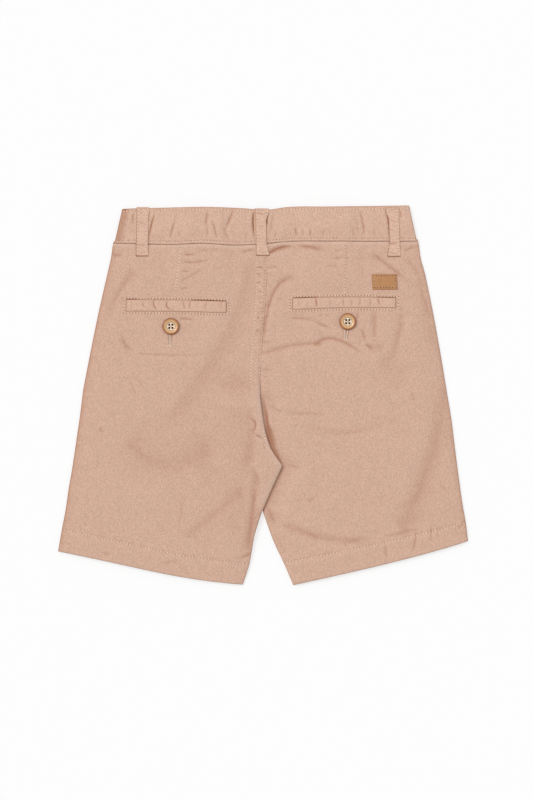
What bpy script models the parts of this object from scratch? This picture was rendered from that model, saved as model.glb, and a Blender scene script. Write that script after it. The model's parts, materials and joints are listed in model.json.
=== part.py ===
"""Bermuda shorts for a child, laid flat with the back up.

Lengths below are millimetres, and MM turns them into Blender's metres. X runs to the right, Y from the
hems to the waist, and Z up off the surface that the shorts lie on. The fronts lie flat at the bottom, the
backs lie on them, and the left leg's crotch folds over the right leg's.
"""

import math
from collections import namedtuple

import bmesh
import bpy
import numpy as np
from mathutils import Vector
from mathutils.bvhtree import BVHTree

MM = 0.001

# Cloth walls and the clearance between neighbouring pieces
TWILL = 1.0
BACK_BAND = 2.0
FRONT_BAND = 1.4
LOOP_CLOTH = 1.0
WELT_CLOTH = 1.0
PATCH_LEATHER = 0.9
GAP = 0.3

# Sizes of the small pieces
BUTTON_RADIUS = 7.75
BUTTON_HOLE_RADIUS = 0.95
BUTTON_HOLE_OFFSET = 1.6
BUTTON_SIDES = 24
FRONT_LOOP_X = 62.0
FRONT_LOOP_WIDTH = 11.7
FRONT_LOOP_TOP = 178.0
FRONT_LOOP_BOTTOM = 132.0
SEAM_STRIP = 8.5
SEAM_STRIP_RISE = 0.6
HEM_RISE = 0.5

# Softness of the edges where the cloth turns from back to front, at the side seams and the inside legs
EDGE_CURL = 8.0
INNER_CURL = 5.0
FLAP_LIFT = 2.9
LOOP_LIFT = 1.5
BACK_EDGE_TOP = TWILL + GAP + TWILL

# Grid cells of the cloth
PANEL_COLUMNS = 22
FRONT_COLUMNS = 12
BAND_COLUMNS = 54
BAND_ROWS = 4
BAND_CURVE_CELLS = 6

# Sections of a leg from the waist seam to the hem. outer is the side seam; back_x and front_x are the
# inner edges of the back and front panels at inner_y; loft is the air and cloth that the back rises over
# its edges; fold is 1 where the inner edge is a fold of the leg and 0 where it is the seat seam; sharp
# marks a corner; cells is the number of grid cells down to the next section.
Section = namedtuple("Section", "outer_x outer_y back_x front_x inner_y loft fold sharp cells")
HEM_SECTION = 12
LEFT_LEG = [
    Section(-141.0, 144.0, 3.0, 3.0, 144.6, 1.0, 0, 0, 2),
    Section(-144.6, 129.0, 3.0, 3.0, 128.5, 2.0, 0, 0, 2),
    Section(-148.2, 113.5, 3.0, 3.0, 112.5, 2.8, 0, 0, 4),
    Section(-156.8, 75.5, 1.0, 1.0, 75.5, 3.6, 0, 0, 4),
    Section(-164.5, 37.5, -2.5, -2.5, 36.5, 3.6, 0, 0, 4),
    Section(-170.8, 5.0, -3.0, -3.0, 1.5, 3.4, 1, 1, 3),
    Section(-174.0, -21.0, 1.0, -3.0, -27.0, 3.2, 1, 0, 2),
    Section(-176.5, -38.0, 7.1, 4.0, -48.9, 3.0, 1, 0, 2),
    Section(-178.5, -52.0, 18.5, 14.5, -66.5, 3.0, 1, 1, 2),
    Section(-181.5, -71.5, 8.5, 6.0, -88.5, 3.0, 1, 0, 2),
    Section(-184.6, -89.0, -0.5, -2.0, -109.2, 3.0, 1, 1, 2),
    Section(-187.3, -108.0, -8.0, -8.0, -133.5, 2.6, 1, 0, 3),
    Section(-191.0, -127.5, -12.8, -12.8, -160.0, 2.0, 1, 0, 3),
    Section(-194.5, -148.0, -19.0, -19.0, -179.5, 1.6, 1, 1, 0),
]
RIGHT_LEG = [
    Section(146.0, 146.5, 3.0, 3.0, 144.6, 1.0, 0, 0, 2),
    Section(149.9, 129.0, 3.0, 3.0, 128.5, 2.0, 0, 0, 2),
    Section(154.2, 113.5, 3.0, 3.0, 112.5, 2.8, 0, 0, 4),
    Section(162.0, 75.5, 1.0, 1.0, 75.5, 3.6, 0, 0, 4),
    Section(168.8, 37.5, -2.5, -2.5, 36.5, 3.6, 0, 0, 4),
    Section(174.2, 5.0, -3.0, -3.0, 1.5, 3.4, 1, 1, 3),
    Section(178.6, -21.5, -7.0, -7.0, -27.0, 3.2, 1, 0, 2),
    Section(180.7, -38.0, -12.0, -12.0, -47.0, 3.0, 1, 0, 2),
    Section(182.8, -55.0, -14.5, -14.5, -66.5, 3.0, 1, 0, 2),
    Section(184.7, -70.0, -9.5, -9.5, -88.5, 3.0, 1, 0, 2),
    Section(186.2, -81.0, -0.5, -0.5, -109.5, 3.0, 1, 1, 2),
    Section(189.0, -101.0, 9.5, 9.5, -137.5, 2.6, 1, 0, 3),
    Section(192.3, -120.0, 19.5, 19.5, -159.0, 2.0, 1, 0, 3),
    Section(194.5, -138.0, 28.5, 28.5, -180.0, 1.6, 1, 1, 0),
]
# How far the hem bows down between its ends, and the power that moves the deepest place inwards or out
HemBow = namedtuple("HemBow", "depth skew")
HEM_BOW = {"left": HemBow(3.2, 1.6), "right": HemBow(2.2, 0.75)}

# The waistband, from the left end to the right end
BandSection = namedtuple("BandSection", "seam_x seam_y top_x top_y")
WAISTBAND = [
    BandSection(-141.0, 144.0, -133.5, 177.0),
    BandSection(-120.0, 144.0, -115.0, 178.8),
    BandSection(-86.5, 143.5, -83.5, 179.0),
    BandSection(-58.0, 144.7, -55.0, 179.6),
    BandSection(-26.0, 143.0, -24.0, 179.0),
    BandSection(3.0, 144.6, 3.5, 176.2),
    BandSection(27.5, 146.5, 26.5, 178.8),
    BandSection(63.5, 146.6, 60.0, 179.6),
    BandSection(103.5, 146.0, 99.5, 180.0),
    BandSection(146.0, 146.5, 138.5, 179.6),
]

# Soft waves that the elastic pulls into the waistband: centre, half-width, rise, and how far up the band
# (0 at the seam, 1 at the top) each one runs.
Pucker = namedtuple("Pucker", "x half_width rise low high")
PUCKERS = [
    Pucker(-124.0, 4.5, -0.9, 0.1, 0.9),
    Pucker(-105.0, 4.5, -1.1, 0.2, 0.9),
    Pucker(-96.0, 5.0, 0.7, 0.0, 0.8),
    Pucker(-83.0, 5.0, -0.8, 0.3, 0.9),
    Pucker(-68.0, 6.0, 0.7, 0.1, 0.9),
    Pucker(-54.0, 4.5, -0.9, 0.3, 0.9),
    Pucker(-45.0, 4.5, -1.1, 0.0, 0.6),
    Pucker(-31.0, 5.0, -0.9, 0.1, 0.8),
    Pucker(-19.0, 5.0, 0.7, 0.2, 0.9),
    Pucker(15.0, 4.5, -1.1, 0.0, 0.7),
    Pucker(31.0, 4.5, -0.9, 0.0, 0.6),
    Pucker(41.0, 4.5, 0.7, 0.0, 0.7),
    Pucker(50.0, 4.5, -0.8, 0.0, 0.7),
    Pucker(63.0, 5.0, -0.8, 0.1, 0.7),
    Pucker(76.0, 6.0, 0.7, 0.2, 0.9),
    Pucker(86.0, 4.5, -1.1, 0.2, 0.9),
    Pucker(95.0, 4.5, -0.7, 0.1, 0.8),
    Pucker(107.0, 5.0, -0.8, 0.1, 0.8),
    Pucker(136.0, 5.0, 0.5, 0.1, 0.9),
]

# Folds of the back, each along a curve through three points. rise is negative for a hollow and positive
# for a ridge; half_width is its spread; lean widens the side to the left of travel and narrows the other.
Fold = namedtuple("Fold", "x0 y0 x1 y1 x2 y2 rise half_width lean")
LEFT_FOLDS = [
    Fold(-124.5, 121.0, -135.0, 99.5, -148.0, 72.0, -1.3, 9.0, 0.2),
    Fold(-12.0, 128.0, -19.0, 86.0, -39.0, 29.0, -2.5, 13.0, 0.2),
    Fold(-39.0, 29.0, -64.5, 3.5, -93.0, -31.0, -2.2, 15.0, 0.0),
    Fold(-32.0, 120.0, -48.0, 70.0, -74.0, 20.0, 1.4, 14.0, 0.0),
    Fold(-128.5, -42.5, -98.0, -68.0, -60.0, -59.5, -2.0, 16.0, 0.0),
    Fold(-76.0, -135.0, -39.0, -107.0, -12.5, -80.5, -2.0, 10.0, -0.2),
    Fold(-78.0, -118.0, -45.0, -92.0, -20.0, -66.0, 1.3, 9.0, 0.0),
    Fold(-13.5, -99.5, -12.5, -120.0, -15.5, -146.0, -1.2, 6.0, 0.0),
    Fold(-5.0, -24.0, -12.5, -39.5, -19.0, -59.5, -1.8, 7.0, 0.0),
    Fold(-134.0, 61.5, -129.5, 45.0, -112.5, 33.0, -1.2, 6.0, 0.0),
    Fold(-140.0, -80.0, -120.0, -105.0, -95.0, -122.0, 1.2, 18.0, 0.0),
]
RIGHT_FOLDS = [
    Fold(8.0, 132.0, 24.0, 138.5, 55.0, 134.0, -1.7, 6.0, 0.2),
    Fold(10.0, 124.0, 30.0, 127.0, 56.0, 120.0, 1.3, 8.0, 0.0),
    Fold(27.5, 118.5, 8.5, 92.0, 1.0, 54.0, -2.3, 8.0, -0.2),
    Fold(11.5, 73.5, 38.0, 73.5, 66.5, 64.0, -1.2, 6.0, 0.0),
    Fold(8.5, 40.5, 37.0, 49.0, 65.5, 52.5, -2.0, 7.0, 0.1),
    Fold(63.5, 53.5, 75.0, 48.0, 92.0, 40.0, -1.6, 7.0, 0.0),
    Fold(92.0, 46.0, 107.5, 44.0, 124.5, 47.0, -1.3, 7.0, 0.0),
    Fold(20.0, 28.0, 52.0, 36.0, 96.0, 26.0, 1.3, 13.0, 0.0),
    Fold(131.0, 78.5, 128.0, 57.5, 122.5, 36.5, -1.2, 6.0, 0.0),
    Fold(99.5, 133.0, 120.5, 122.0, 144.0, 98.0, -1.3, 9.0, 0.0),
    Fold(172.0, -2.5, 167.0, -42.5, 153.0, -74.0, -2.3, 13.0, 0.2),
    Fold(154.0, -71.0, 143.5, -96.5, 131.0, -126.0, -2.5, 13.0, 0.2),
    Fold(148.0, -10.0, 143.0, -50.0, 124.0, -90.0, 1.4, 14.0, 0.0),
    Fold(50.0, -28.0, 82.5, -34.5, 132.0, -23.0, -1.4, 9.0, 0.0),
    Fold(5.0, -102.0, 25.5, -123.0, 59.0, -137.5, -1.6, 9.0, 0.0),
    Fold(54.0, -137.5, 78.0, -138.5, 100.0, -133.0, -1.2, 9.0, 0.0),
    Fold(115.0, 38.0, 125.0, 26.0, 140.0, 12.0, -1.4, 14.0, 0.0),
]
FOLD_STEPS = 16
WAIST_FADE = 5.0

# Small pieces on the back: corners in plan, top edge first
Patch = namedtuple("Patch", "top_left top_right bottom_left bottom_right")
BACK_LOOPS = {
    "belt_loop_back_left": Patch((-119.7, 179.6), (-107.9, 179.4), (-120.6, 132.0), (-108.8, 132.0)),
    "belt_loop_back_centre": Patch((-7.6, 177.4), (3.1, 177.3), (-6.4, 132.4), (5.9, 132.4)),
    "belt_loop_back_right": Patch((116.0, 177.6), (128.6, 177.6), (118.0, 131.4), (130.4, 131.6)),
}
LOOP_ARCH = 0.7
LOOP_CELLS = (2, 12)
WELTS = {
    "pocket_welt_left": Patch((-129.8, 91.6), (-34.6, 90.0), (-130.2, 80.6), (-35.0, 79.0)),
    "pocket_welt_right": Patch((28.8, 92.7), (126.0, 93.1), (28.3, 82.1), (125.6, 83.8)),
}
WELT_BOW = 1.0
WELT_CELLS = (22, 2)
LABEL = Patch((103.0, 115.0), (126.7, 114.9), (103.8, 100.4), (127.4, 100.4))
LABEL_CELLS = (5, 3)
BUTTONS = {
    "pocket_button_left": ("back_panel_left", -87.2, 65.4),
    "pocket_button_right": ("back_panel_right", 80.2, 69.9),
}
# Half of a button's section, from the middle of its face, over the rim and back to the axis
BUTTON_PROFILE = [(0.0, 1.1), (4.4, 1.1), (5.4, 1.7), (6.2, 2.3), (7.2, 2.0), (7.75, 1.2), (7.1, 0.0), (0.0, 0.0)]


def clear_scene():
    for thing in list(bpy.data.objects):
        bpy.data.objects.remove(thing, do_unlink=True)


def new_collection(name):
    collection = bpy.data.collections.new(name)
    bpy.context.scene.collection.children.link(collection)
    return collection


def material(name, colour, roughness, metallic=0.0):
    made = bpy.data.materials.new(name)
    made.use_nodes = True
    shader = made.node_tree.nodes["Principled BSDF"]
    shader.inputs["Base Color"].default_value = (*colour, 1.0)
    shader.inputs["Roughness"].default_value = roughness
    shader.inputs["Metallic"].default_value = metallic
    made.diffuse_color = (*colour, 1.0)
    return made


def smooth(t):
    """0 below 0, 1 above 1 and an even S between."""
    t = np.clip(t, 0.0, 1.0)
    return t * t * (3.0 - 2.0 * t)


def soft_floor(height, softness=0.35):
    """The height, held softly above zero."""
    return softness * np.logaddexp(0.0, height / softness)


def curve_through(values, sharp, cells):
    """Read a smooth curve through the values at every grid line. A sharp value stays a corner."""
    values = np.asarray(values, dtype=float)
    count = len(values)
    read = []
    for k in range(count - 1):
        step = values[k + 1] - values[k]
        before = step if k == 0 or sharp[k] else (values[k + 1] - values[k - 1]) / 2
        after = step if k == count - 2 or sharp[k + 1] else (values[k + 2] - values[k]) / 2
        for cell in range(cells[k]):
            t = cell / cells[k]
            blend = t * t * (3 - 2 * t)
            bulge = before * t * (1 - t) ** 2 - after * t * t * (1 - t)
            read.append(values[k] * (1 - blend) + values[k + 1] * blend + bulge)
    read.append(values[-1])
    return np.array(read)


def section_lines(leg, field):
    sharp = [row.sharp for row in leg]
    cells = [row.cells for row in leg]
    return curve_through([getattr(row, field) for row in leg], sharp, cells)


def column_lines(columns):
    """Columns from 0 to 1, closer together at the two edges, where the cloth curls."""
    t = np.linspace(0.0, 1.0, columns + 1)
    return 0.45 * t + 0.55 * (0.5 - 0.5 * np.cos(math.pi * t))


def plan_of_panel(leg, side, inner, columns):
    """Plan of a panel: rows run down from the waist, columns in from the side seam."""
    edge = GAP / 2 if side == "right" else -GAP / 2
    outer_x = section_lines(leg, "outer_x")[:, None]
    outer_y = section_lines(leg, "outer_y")[:, None]
    inner_x = section_lines(leg, inner)[:, None] + edge
    inner_y = section_lines(leg, "inner_y")[:, None]
    u = column_lines(columns)[None, :]
    x = outer_x + (inner_x - outer_x) * u
    y = outer_y + (inner_y - outer_y) * u
    sections = np.arange(len(leg), dtype=float)
    section = curve_through(sections, [1] * len(leg), [row.cells for row in leg])[:, None] + 0 * u
    to_waist = smooth(1.0 - section)
    y += to_waist * (np.interp(x, *waist_seam()) - y - GAP / 2) * (section < 1)
    bow = HEM_BOW[side]
    y -= bow.depth * np.sin(math.pi * u**bow.skew) * smooth(section - (HEM_SECTION - 1))
    width = np.abs(inner_x - outer_x)
    return x, y, section, width * u, width * (1 - u)


def band_lines(field):
    """Read one of the waistband's smooth edges at places about 5 mm apart."""
    cells = [BAND_CURVE_CELLS] * len(WAISTBAND)
    return curve_through([getattr(row, field) for row in WAISTBAND], [0] * len(WAISTBAND), cells)


def waist_seam():
    return band_lines("seam_x"), band_lines("seam_y")


def fold_heights(folds, x, y):
    """Sum of the folds' hollows and ridges at points of the plan."""
    total = np.zeros_like(x)
    for fold in folds:
        t = np.linspace(0.0, 1.0, FOLD_STEPS + 1)
        first, middle, last = (1 - t) * (1 - 2 * t), 4 * t * (1 - t), t * (2 * t - 1)
        path_x = fold.x0 * first + fold.x1 * middle + fold.x2 * last
        path_y = fold.y0 * first + fold.y1 * middle + fold.y2 * last
        nearest = np.full(x.shape, np.inf)
        signed = np.zeros_like(x)
        place = np.zeros_like(x)
        for k in range(FOLD_STEPS):
            run_x, run_y = path_x[k + 1] - path_x[k], path_y[k + 1] - path_y[k]
            length = math.hypot(run_x, run_y)
            along = np.clip(((x - path_x[k]) * run_x + (y - path_y[k]) * run_y) / length**2, 0, 1)
            off_x, off_y = x - path_x[k] - along * run_x, y - path_y[k] - along * run_y
            away = np.hypot(off_x, off_y)
            closer = away < nearest
            nearest = np.where(closer, away, nearest)
            signed = np.where(closer, np.sign(run_x * off_y - run_y * off_x), signed)
            place = np.where(closer, (k + along) / FOLD_STEPS, place)
        spread = fold.half_width * (1 + fold.lean * signed)
        ends = smooth(place / 0.3 + 0.15) * smooth((1 - place) / 0.3 + 0.15)
        total += fold.rise * ends * np.exp(-((nearest / spread) ** 2))
    return total


def loop_lift(x, y):
    """How far the cloth rises over the front belt loops, which lie beneath it."""
    across = smooth((34.0 - np.abs(np.abs(x) - FRONT_LOOP_X)) / 17.0)
    return LOOP_LIFT * across * smooth((y - 92.0) / 24.0)


def flap_lift(x, y):
    """How far the left leg rises to lie over the right leg's crotch."""
    return FLAP_LIFT * smooth((x + 58.0) / 36.0) * smooth((28.0 - y) / 25.0) * smooth((y + 178.0) / 56.0)


def under_flap(x, y):
    """1 where the right leg lies under the left leg's flap, fading to 0 beside it."""
    rows = [row for row in LEFT_LEG if row.inner_y < 40]
    flap_x = np.interp(-y, [-row.inner_y for row in rows], [row.back_x for row in rows])
    return smooth((flap_x + 28.0 - x) / 22.0) * smooth((28.0 - y) / 26.0) * smooth((y + 140.0) / 24.0)


def back_surface(leg, side):
    """Top surface of a back panel."""
    x, y, section, from_side, from_inner = plan_of_panel(leg, side, "back_x", PANEL_COLUMNS)
    loft = section_lines(leg, "loft")[:, None]
    fold = section_lines(leg, "fold")[:, None]
    curl = (1 - np.exp(-from_side / EDGE_CURL)) * (1 - fold * np.exp(-from_inner / INNER_CURL))
    folds = LEFT_FOLDS if side == "left" else RIGHT_FOLDS
    waist_fade = smooth((np.interp(x, *waist_seam()) - y) / WAIST_FADE)
    rise = loft * curl + fold_heights(folds, x, y) * waist_fade * (0.25 + 0.75 * curl)
    rise += HEM_RISE * smooth((section - HEM_SECTION) / 0.3)
    if side == "left":
        rise += SEAM_STRIP_RISE * smooth((SEAM_STRIP + 1.0 - from_inner) / 2.5) * (1 - fold)
        rise = soft_floor(rise) + flap_lift(x, y)
    else:
        rise = soft_floor(rise) * (1 - under_flap(x, y))
    return x, y, BACK_EDGE_TOP + rise + loop_lift(x, y)


def front_surface(leg, side):
    """Top surface of a front panel, flat on the floor but for what lies under it."""
    x, y, _, _, _ = plan_of_panel(leg, side, "front_x", FRONT_COLUMNS)
    lift = loop_lift(x, y)
    if side == "left":
        lift = lift + flap_lift(x, y)
    return x, y, TWILL + lift


def band_plan(first_x, last_x, columns):
    """Plan of a stretch of the waistband: rows run down from the top edge, columns to the right."""
    seam_x = np.linspace(first_x, last_x, columns + 1)[None, :]
    known = band_lines("seam_x")
    seam_y = np.interp(seam_x, known, band_lines("seam_y")) + GAP / 2
    top_x = np.interp(seam_x, known, band_lines("top_x"))
    top_y = np.interp(seam_x, known, band_lines("top_y"))
    up = np.linspace(1.0, 0.0, BAND_ROWS + 1)[:, None]
    return seam_x + (top_x - seam_x) * up, seam_y + (top_y - seam_y) * up, up + 0 * seam_x


def back_band_surface():
    left_end, right_end = WAISTBAND[0].seam_x, WAISTBAND[-1].seam_x
    x, y, up = band_plan(left_end, right_end, BAND_COLUMNS)
    from_end = np.minimum(x - x[:, :1], x[:, -1:] - x)
    crown = np.sin(math.pi * (0.12 + 0.76 * up)) * (1 - np.exp(-(from_end + 2.0) / 5.0))
    rise = 1.3 * crown
    for pucker in PUCKERS:
        reach = smooth((up - pucker.low) / 0.25 + 0.5) * smooth((pucker.high - up) / 0.25 + 0.5)
        rise += pucker.rise * reach * np.exp(-(((x - pucker.x) / pucker.half_width) ** 2))
    return x, y, FRONT_BAND + GAP + BACK_BAND + soft_floor(rise, 0.25) + loop_lift(x, y)


def front_band_surface(first_x, last_x):
    x, y, _ = band_plan(first_x, last_x, BAND_COLUMNS // 3)
    return x, y, FRONT_BAND + loop_lift(x, y)


def cloth(name, surface, wall, finish, collection):
    """A closed wall of cloth under a grid of points. Rows run down the grid and columns across it."""
    x, y, z = surface
    if x[0, 0] > x[0, -1]:
        x, y, z = x[:, ::-1], y[:, ::-1], z[:, ::-1]
    rows, columns = x.shape
    bm = bmesh.new()
    bmesh.ops.create_grid(bm, x_segments=columns - 1, y_segments=rows - 1, size=1.0)
    for vertex in bm.verts:
        column = round((vertex.co.x + 1) / 2 * (columns - 1))
        row = round((1 - vertex.co.y) / 2 * (rows - 1))
        vertex.co = Vector((x[row, column], y[row, column], z[row, column])) * MM
    mesh = bpy.data.meshes.new(name)
    bm.to_mesh(mesh)
    bm.free()
    mesh.materials.append(finish)
    mesh.shade_smooth()
    piece = bpy.data.objects.new(name, mesh)
    collection.objects.link(piece)
    shell = piece.modifiers.new("wall", "SOLIDIFY")
    shell.thickness = wall * MM
    shell.offset = -1.0
    return piece


def height_on(carriers):
    """A function that gives the height of the top of the carriers at a place of the plan."""
    bpy.context.view_layer.update()
    graph = bpy.context.evaluated_depsgraph_get()
    trees = [BVHTree.FromObject(carrier, graph) for carrier in carriers]

    def height(x, y):
        start = Vector((x * MM, y * MM, 0.1))
        hits = [tree.ray_cast(start, Vector((0, 0, -1)))[0] for tree in trees]
        return max((hit.z / MM for hit in hits if hit), default=0.0)

    return height


def patch_surface(patch, cells, height, wall, bow=0.0, arch=0.0, reach=0.0):
    """Top surface of a small piece that follows the cloth it lies on."""
    across = np.linspace(0.0, 1.0, cells[0] + 1)[None, :]
    down = np.linspace(0.0, 1.0, cells[1] + 1)[:, None]
    corners = [np.array(corner) for corner in patch]
    top = corners[0][:, None, None] * (1 - across) + corners[1][:, None, None] * across
    bottom = corners[2][:, None, None] * (1 - across) + corners[3][:, None, None] * across
    x, y = top * (1 - down) + bottom * down
    y = y + bow * np.sin(math.pi * across)
    window = [0.0] if reach == 0 else [-reach, -reach / 2, 0.0, reach / 2, reach]
    carried = np.vectorize(lambda px, py: max(height(px, py + step) for step in window))(x, y)
    return x, y, carried + GAP + wall + arch * np.sin(math.pi * down)


def button(name, x, y, z, finish, collection, cutters):
    """A turned button with a raised rim and four holes cut through it."""
    bm = bmesh.new()
    ring = [bm.verts.new((radius * MM, 0, height * MM)) for radius, height in BUTTON_PROFILE]
    for first, second in zip(ring, ring[1:]):
        bm.edges.new((first, second))
    mesh = bpy.data.meshes.new(name)
    bm.to_mesh(mesh)
    bm.free()
    mesh.materials.append(finish)
    piece = bpy.data.objects.new(name, mesh)
    collection.objects.link(piece)
    piece.location = (x * MM, y * MM, z * MM)
    turn = piece.modifiers.new("turn", "SCREW")
    turn.steps = turn.render_steps = BUTTON_SIDES
    turn.use_merge_vertices = True
    turn.merge_threshold = 0.00001
    for number in range(4):
        angle = math.pi / 4 + number * math.pi / 2
        bpy.ops.mesh.primitive_cylinder_add(
            vertices=8,
            radius=BUTTON_HOLE_RADIUS * MM,
            depth=8 * MM,
            location=(
                (x + BUTTON_HOLE_OFFSET * math.sqrt(2) * math.cos(angle)) * MM,
                (y + BUTTON_HOLE_OFFSET * math.sqrt(2) * math.sin(angle)) * MM,
                z * MM,
            ),
        )
        cutter = bpy.context.object
        cutter.name = f"{name}_hole_cutter_{number}"
        cutter.hide_render = True
        cutter.display_type = "WIRE"
        for home in list(cutter.users_collection):
            home.objects.unlink(cutter)
        cutters.objects.link(cutter)
        cut = piece.modifiers.new(f"hole_{number}", "BOOLEAN")
        cut.operation = "DIFFERENCE"
        cut.object = cutter
    return piece


def build():
    clear_scene()
    shorts = new_collection("bermuda_shorts")
    cutters = new_collection("button_hole_cutters")
    twill = material("rose_beige_twill", (0.64, 0.41, 0.31), 0.9)
    horn = material("caramel_button", (0.55, 0.32, 0.16), 0.35)
    tan = material("tan_patch", (0.49, 0.25, 0.12), 0.6)

    legs = {"left": LEFT_LEG, "right": RIGHT_LEG}
    backs = {}
    for side, leg in legs.items():
        cloth(f"front_panel_{side}", front_surface(leg, side), TWILL, twill, shorts)
        name = f"back_panel_{side}"
        backs[name] = cloth(name, back_surface(leg, side), TWILL, twill, shorts)

    centre = LEFT_LEG[0].front_x
    left_band = front_band_surface(WAISTBAND[0].seam_x, centre - GAP / 2)
    right_band = front_band_surface(centre + GAP / 2, WAISTBAND[-1].seam_x)
    cloth("waistband_front_left", left_band, FRONT_BAND, twill, shorts)
    cloth("waistband_front_right", right_band, FRONT_BAND, twill, shorts)
    band = cloth("waistband_back", back_band_surface(), BACK_BAND, twill, shorts)

    top_of_back = height_on([band, *backs.values()])
    for name, patch in BACK_LOOPS.items():
        surface = patch_surface(patch, LOOP_CELLS, top_of_back, LOOP_CLOTH, arch=LOOP_ARCH, reach=6.0)
        cloth(name, surface, LOOP_CLOTH, twill, shorts)
    for side, middle in (("left", -FRONT_LOOP_X), ("right", FRONT_LOOP_X)):
        x0, x1 = middle - FRONT_LOOP_WIDTH / 2, middle + FRONT_LOOP_WIDTH / 2
        patch = Patch((x0, FRONT_LOOP_TOP), (x1, FRONT_LOOP_TOP), (x0, FRONT_LOOP_BOTTOM), (x1, FRONT_LOOP_BOTTOM))
        x, y, z = patch_surface(patch, (2, 4), lambda px, py: -GAP, TWILL)
        cloth(f"belt_loop_front_{side}", (x, y, z), TWILL, twill, shorts)
    for name, patch in WELTS.items():
        surface = patch_surface(patch, WELT_CELLS, top_of_back, WELT_CLOTH, bow=WELT_BOW)
        cloth(name, surface, WELT_CLOTH, twill, shorts)
    surface = patch_surface(LABEL, LABEL_CELLS, top_of_back, PATCH_LEATHER)
    cloth("label_patch", surface, PATCH_LEATHER, tan, shorts)

    for name, (panel, x, y) in BUTTONS.items():
        height = height_on([backs[panel]])
        rim = [(BUTTON_RADIUS * math.cos(a), BUTTON_RADIUS * math.sin(a)) for a in np.linspace(0, 2 * math.pi, 13)]
        seat = max(height(x + px, y + py) for px, py in [(0.0, 0.0), *rim])
        button(name, x, y, seat + GAP, horn, shorts, cutters)


build()
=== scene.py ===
# %% [markdown]
# # A child's bermuda shorts, laid flat with the back up
#
# These are cotton-twill chino shorts in a dusty rose beige. They lie on a pale table with the wearer's back
# up: two back panels under an elasticated waistband, the fronts flat beneath them, five belt loops, two
# welt pockets with a button each, and a small bare leather patch.
#
# Cloth is the whole job here. It could be draped by a cloth simulation, but flat cloth that someone has
# smoothed out by hand keeps creases that no simulation would put in the right place. So every panel is a
# fine grid whose height is worked out: first the big soft folds, then the crisp creases, then what the
# sewing pulls in. The cell below loads the solid model, which says where every piece has to lie.

# %% Load the solid model and group its parts into bodies
import json
import math
from collections import namedtuple

import bpy
import numpy as np
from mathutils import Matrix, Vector
from mathutils.bvhtree import BVHTree

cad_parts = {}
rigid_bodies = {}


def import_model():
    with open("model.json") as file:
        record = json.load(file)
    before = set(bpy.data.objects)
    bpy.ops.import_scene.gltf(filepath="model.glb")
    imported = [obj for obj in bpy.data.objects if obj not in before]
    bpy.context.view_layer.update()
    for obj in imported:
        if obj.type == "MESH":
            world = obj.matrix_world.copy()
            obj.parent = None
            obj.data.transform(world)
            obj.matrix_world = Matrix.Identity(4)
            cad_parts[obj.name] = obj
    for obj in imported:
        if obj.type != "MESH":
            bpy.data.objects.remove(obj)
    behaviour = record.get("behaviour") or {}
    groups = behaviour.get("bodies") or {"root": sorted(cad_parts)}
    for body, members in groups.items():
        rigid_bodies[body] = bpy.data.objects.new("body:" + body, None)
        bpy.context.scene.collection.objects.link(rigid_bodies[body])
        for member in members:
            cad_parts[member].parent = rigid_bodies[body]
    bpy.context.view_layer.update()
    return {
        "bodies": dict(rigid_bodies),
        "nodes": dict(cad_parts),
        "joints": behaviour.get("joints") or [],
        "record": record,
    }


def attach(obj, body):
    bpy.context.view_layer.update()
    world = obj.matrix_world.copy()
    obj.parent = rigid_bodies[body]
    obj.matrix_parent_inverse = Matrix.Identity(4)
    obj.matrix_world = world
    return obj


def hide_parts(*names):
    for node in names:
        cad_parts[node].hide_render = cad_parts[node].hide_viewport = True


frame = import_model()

MM = 0.001

# %% [markdown]
# ## Sizes of the cloth and the sewing
#
# All lengths are millimetres, with X to the right, Y from the hems to the waist and Z up. The twill is thin,
# so a back panel drawn as a solid wall would look like felt. The finished cloth is 0.7 mm thick and rolls
# down at its edges until it meets the layer below, which is what makes a flat garment look soft.

# %% Thicknesses, seams and lifts
TWILL = 0.7
BAND_CLOTH = 1.0
LAYER_GAP = 0.1
SEAM_SPACE = 0.15
SOLID_EDGE_TOP = 2.3
SOLID_BAND_TOP = 3.7
EDGE_ROLL = 0.8
EDGE_ROLL_WIDTH = 1.1
EDGE_FADE = 0.45
SEAM_LAP = 0.9
WAIST_TUCK = 2.0
HEM_DEPTH = 20.0
BAND_HEIGHT = 34.0
FRONT_LOOP_X = 62.0
FRONT_LOOP_LIFT = 1.5
FLAP_HEIGHT = 2.9
print("cloth", TWILL, "mm, folded band cloth", BAND_CLOTH, "mm")

# %% [markdown]
# ## Smooth lines through a few measured places
#
# A leg is described by a short table of sections from the waist seam down to the hem, the way a cutter
# measures a pattern: where the side seam is, where the inner edge is and how much air the back holds. A
# spline object could join them, but a formula that can be read at any fineness is easier to reuse, so one
# small function draws a smooth curve through a column of the table and keeps a corner where it is marked.

# %% Curves, steps and gentle waves
def smooth(t):
    """0 below 0, 1 above 1 and an even S between."""
    t = np.clip(t, 0.0, 1.0)
    return t * t * (3.0 - 2.0 * t)


def soft_floor(height, softness=0.35):
    """The height, held softly above zero."""
    return softness * np.logaddexp(0.0, height / softness)


def curve_through(values, sharp, cells):
    """Read a smooth curve through the values at every grid line. A sharp value stays a corner."""
    values = np.asarray(values, dtype=float)
    last = len(values) - 1
    read = []
    for k in range(last):
        step = values[k + 1] - values[k]
        before = step if k == 0 or sharp[k] else (values[k + 1] - values[k - 1]) / 2
        after = step if k == last - 1 or sharp[k + 1] else (values[k + 2] - values[k]) / 2
        t = np.arange(cells[k]) / cells[k]
        blend = t * t * (3 - 2 * t)
        bulge = before * t * (1 - t) ** 2 - after * t * t * (1 - t)
        read.extend(values[k] * (1 - blend) + values[k + 1] * blend + bulge)
    return np.array(read + [values[-1]])


def groove(distance, half_width):
    """1 on a line, and fading evenly to both sides of it."""
    return np.exp(-((distance / half_width) ** 2))


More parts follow.
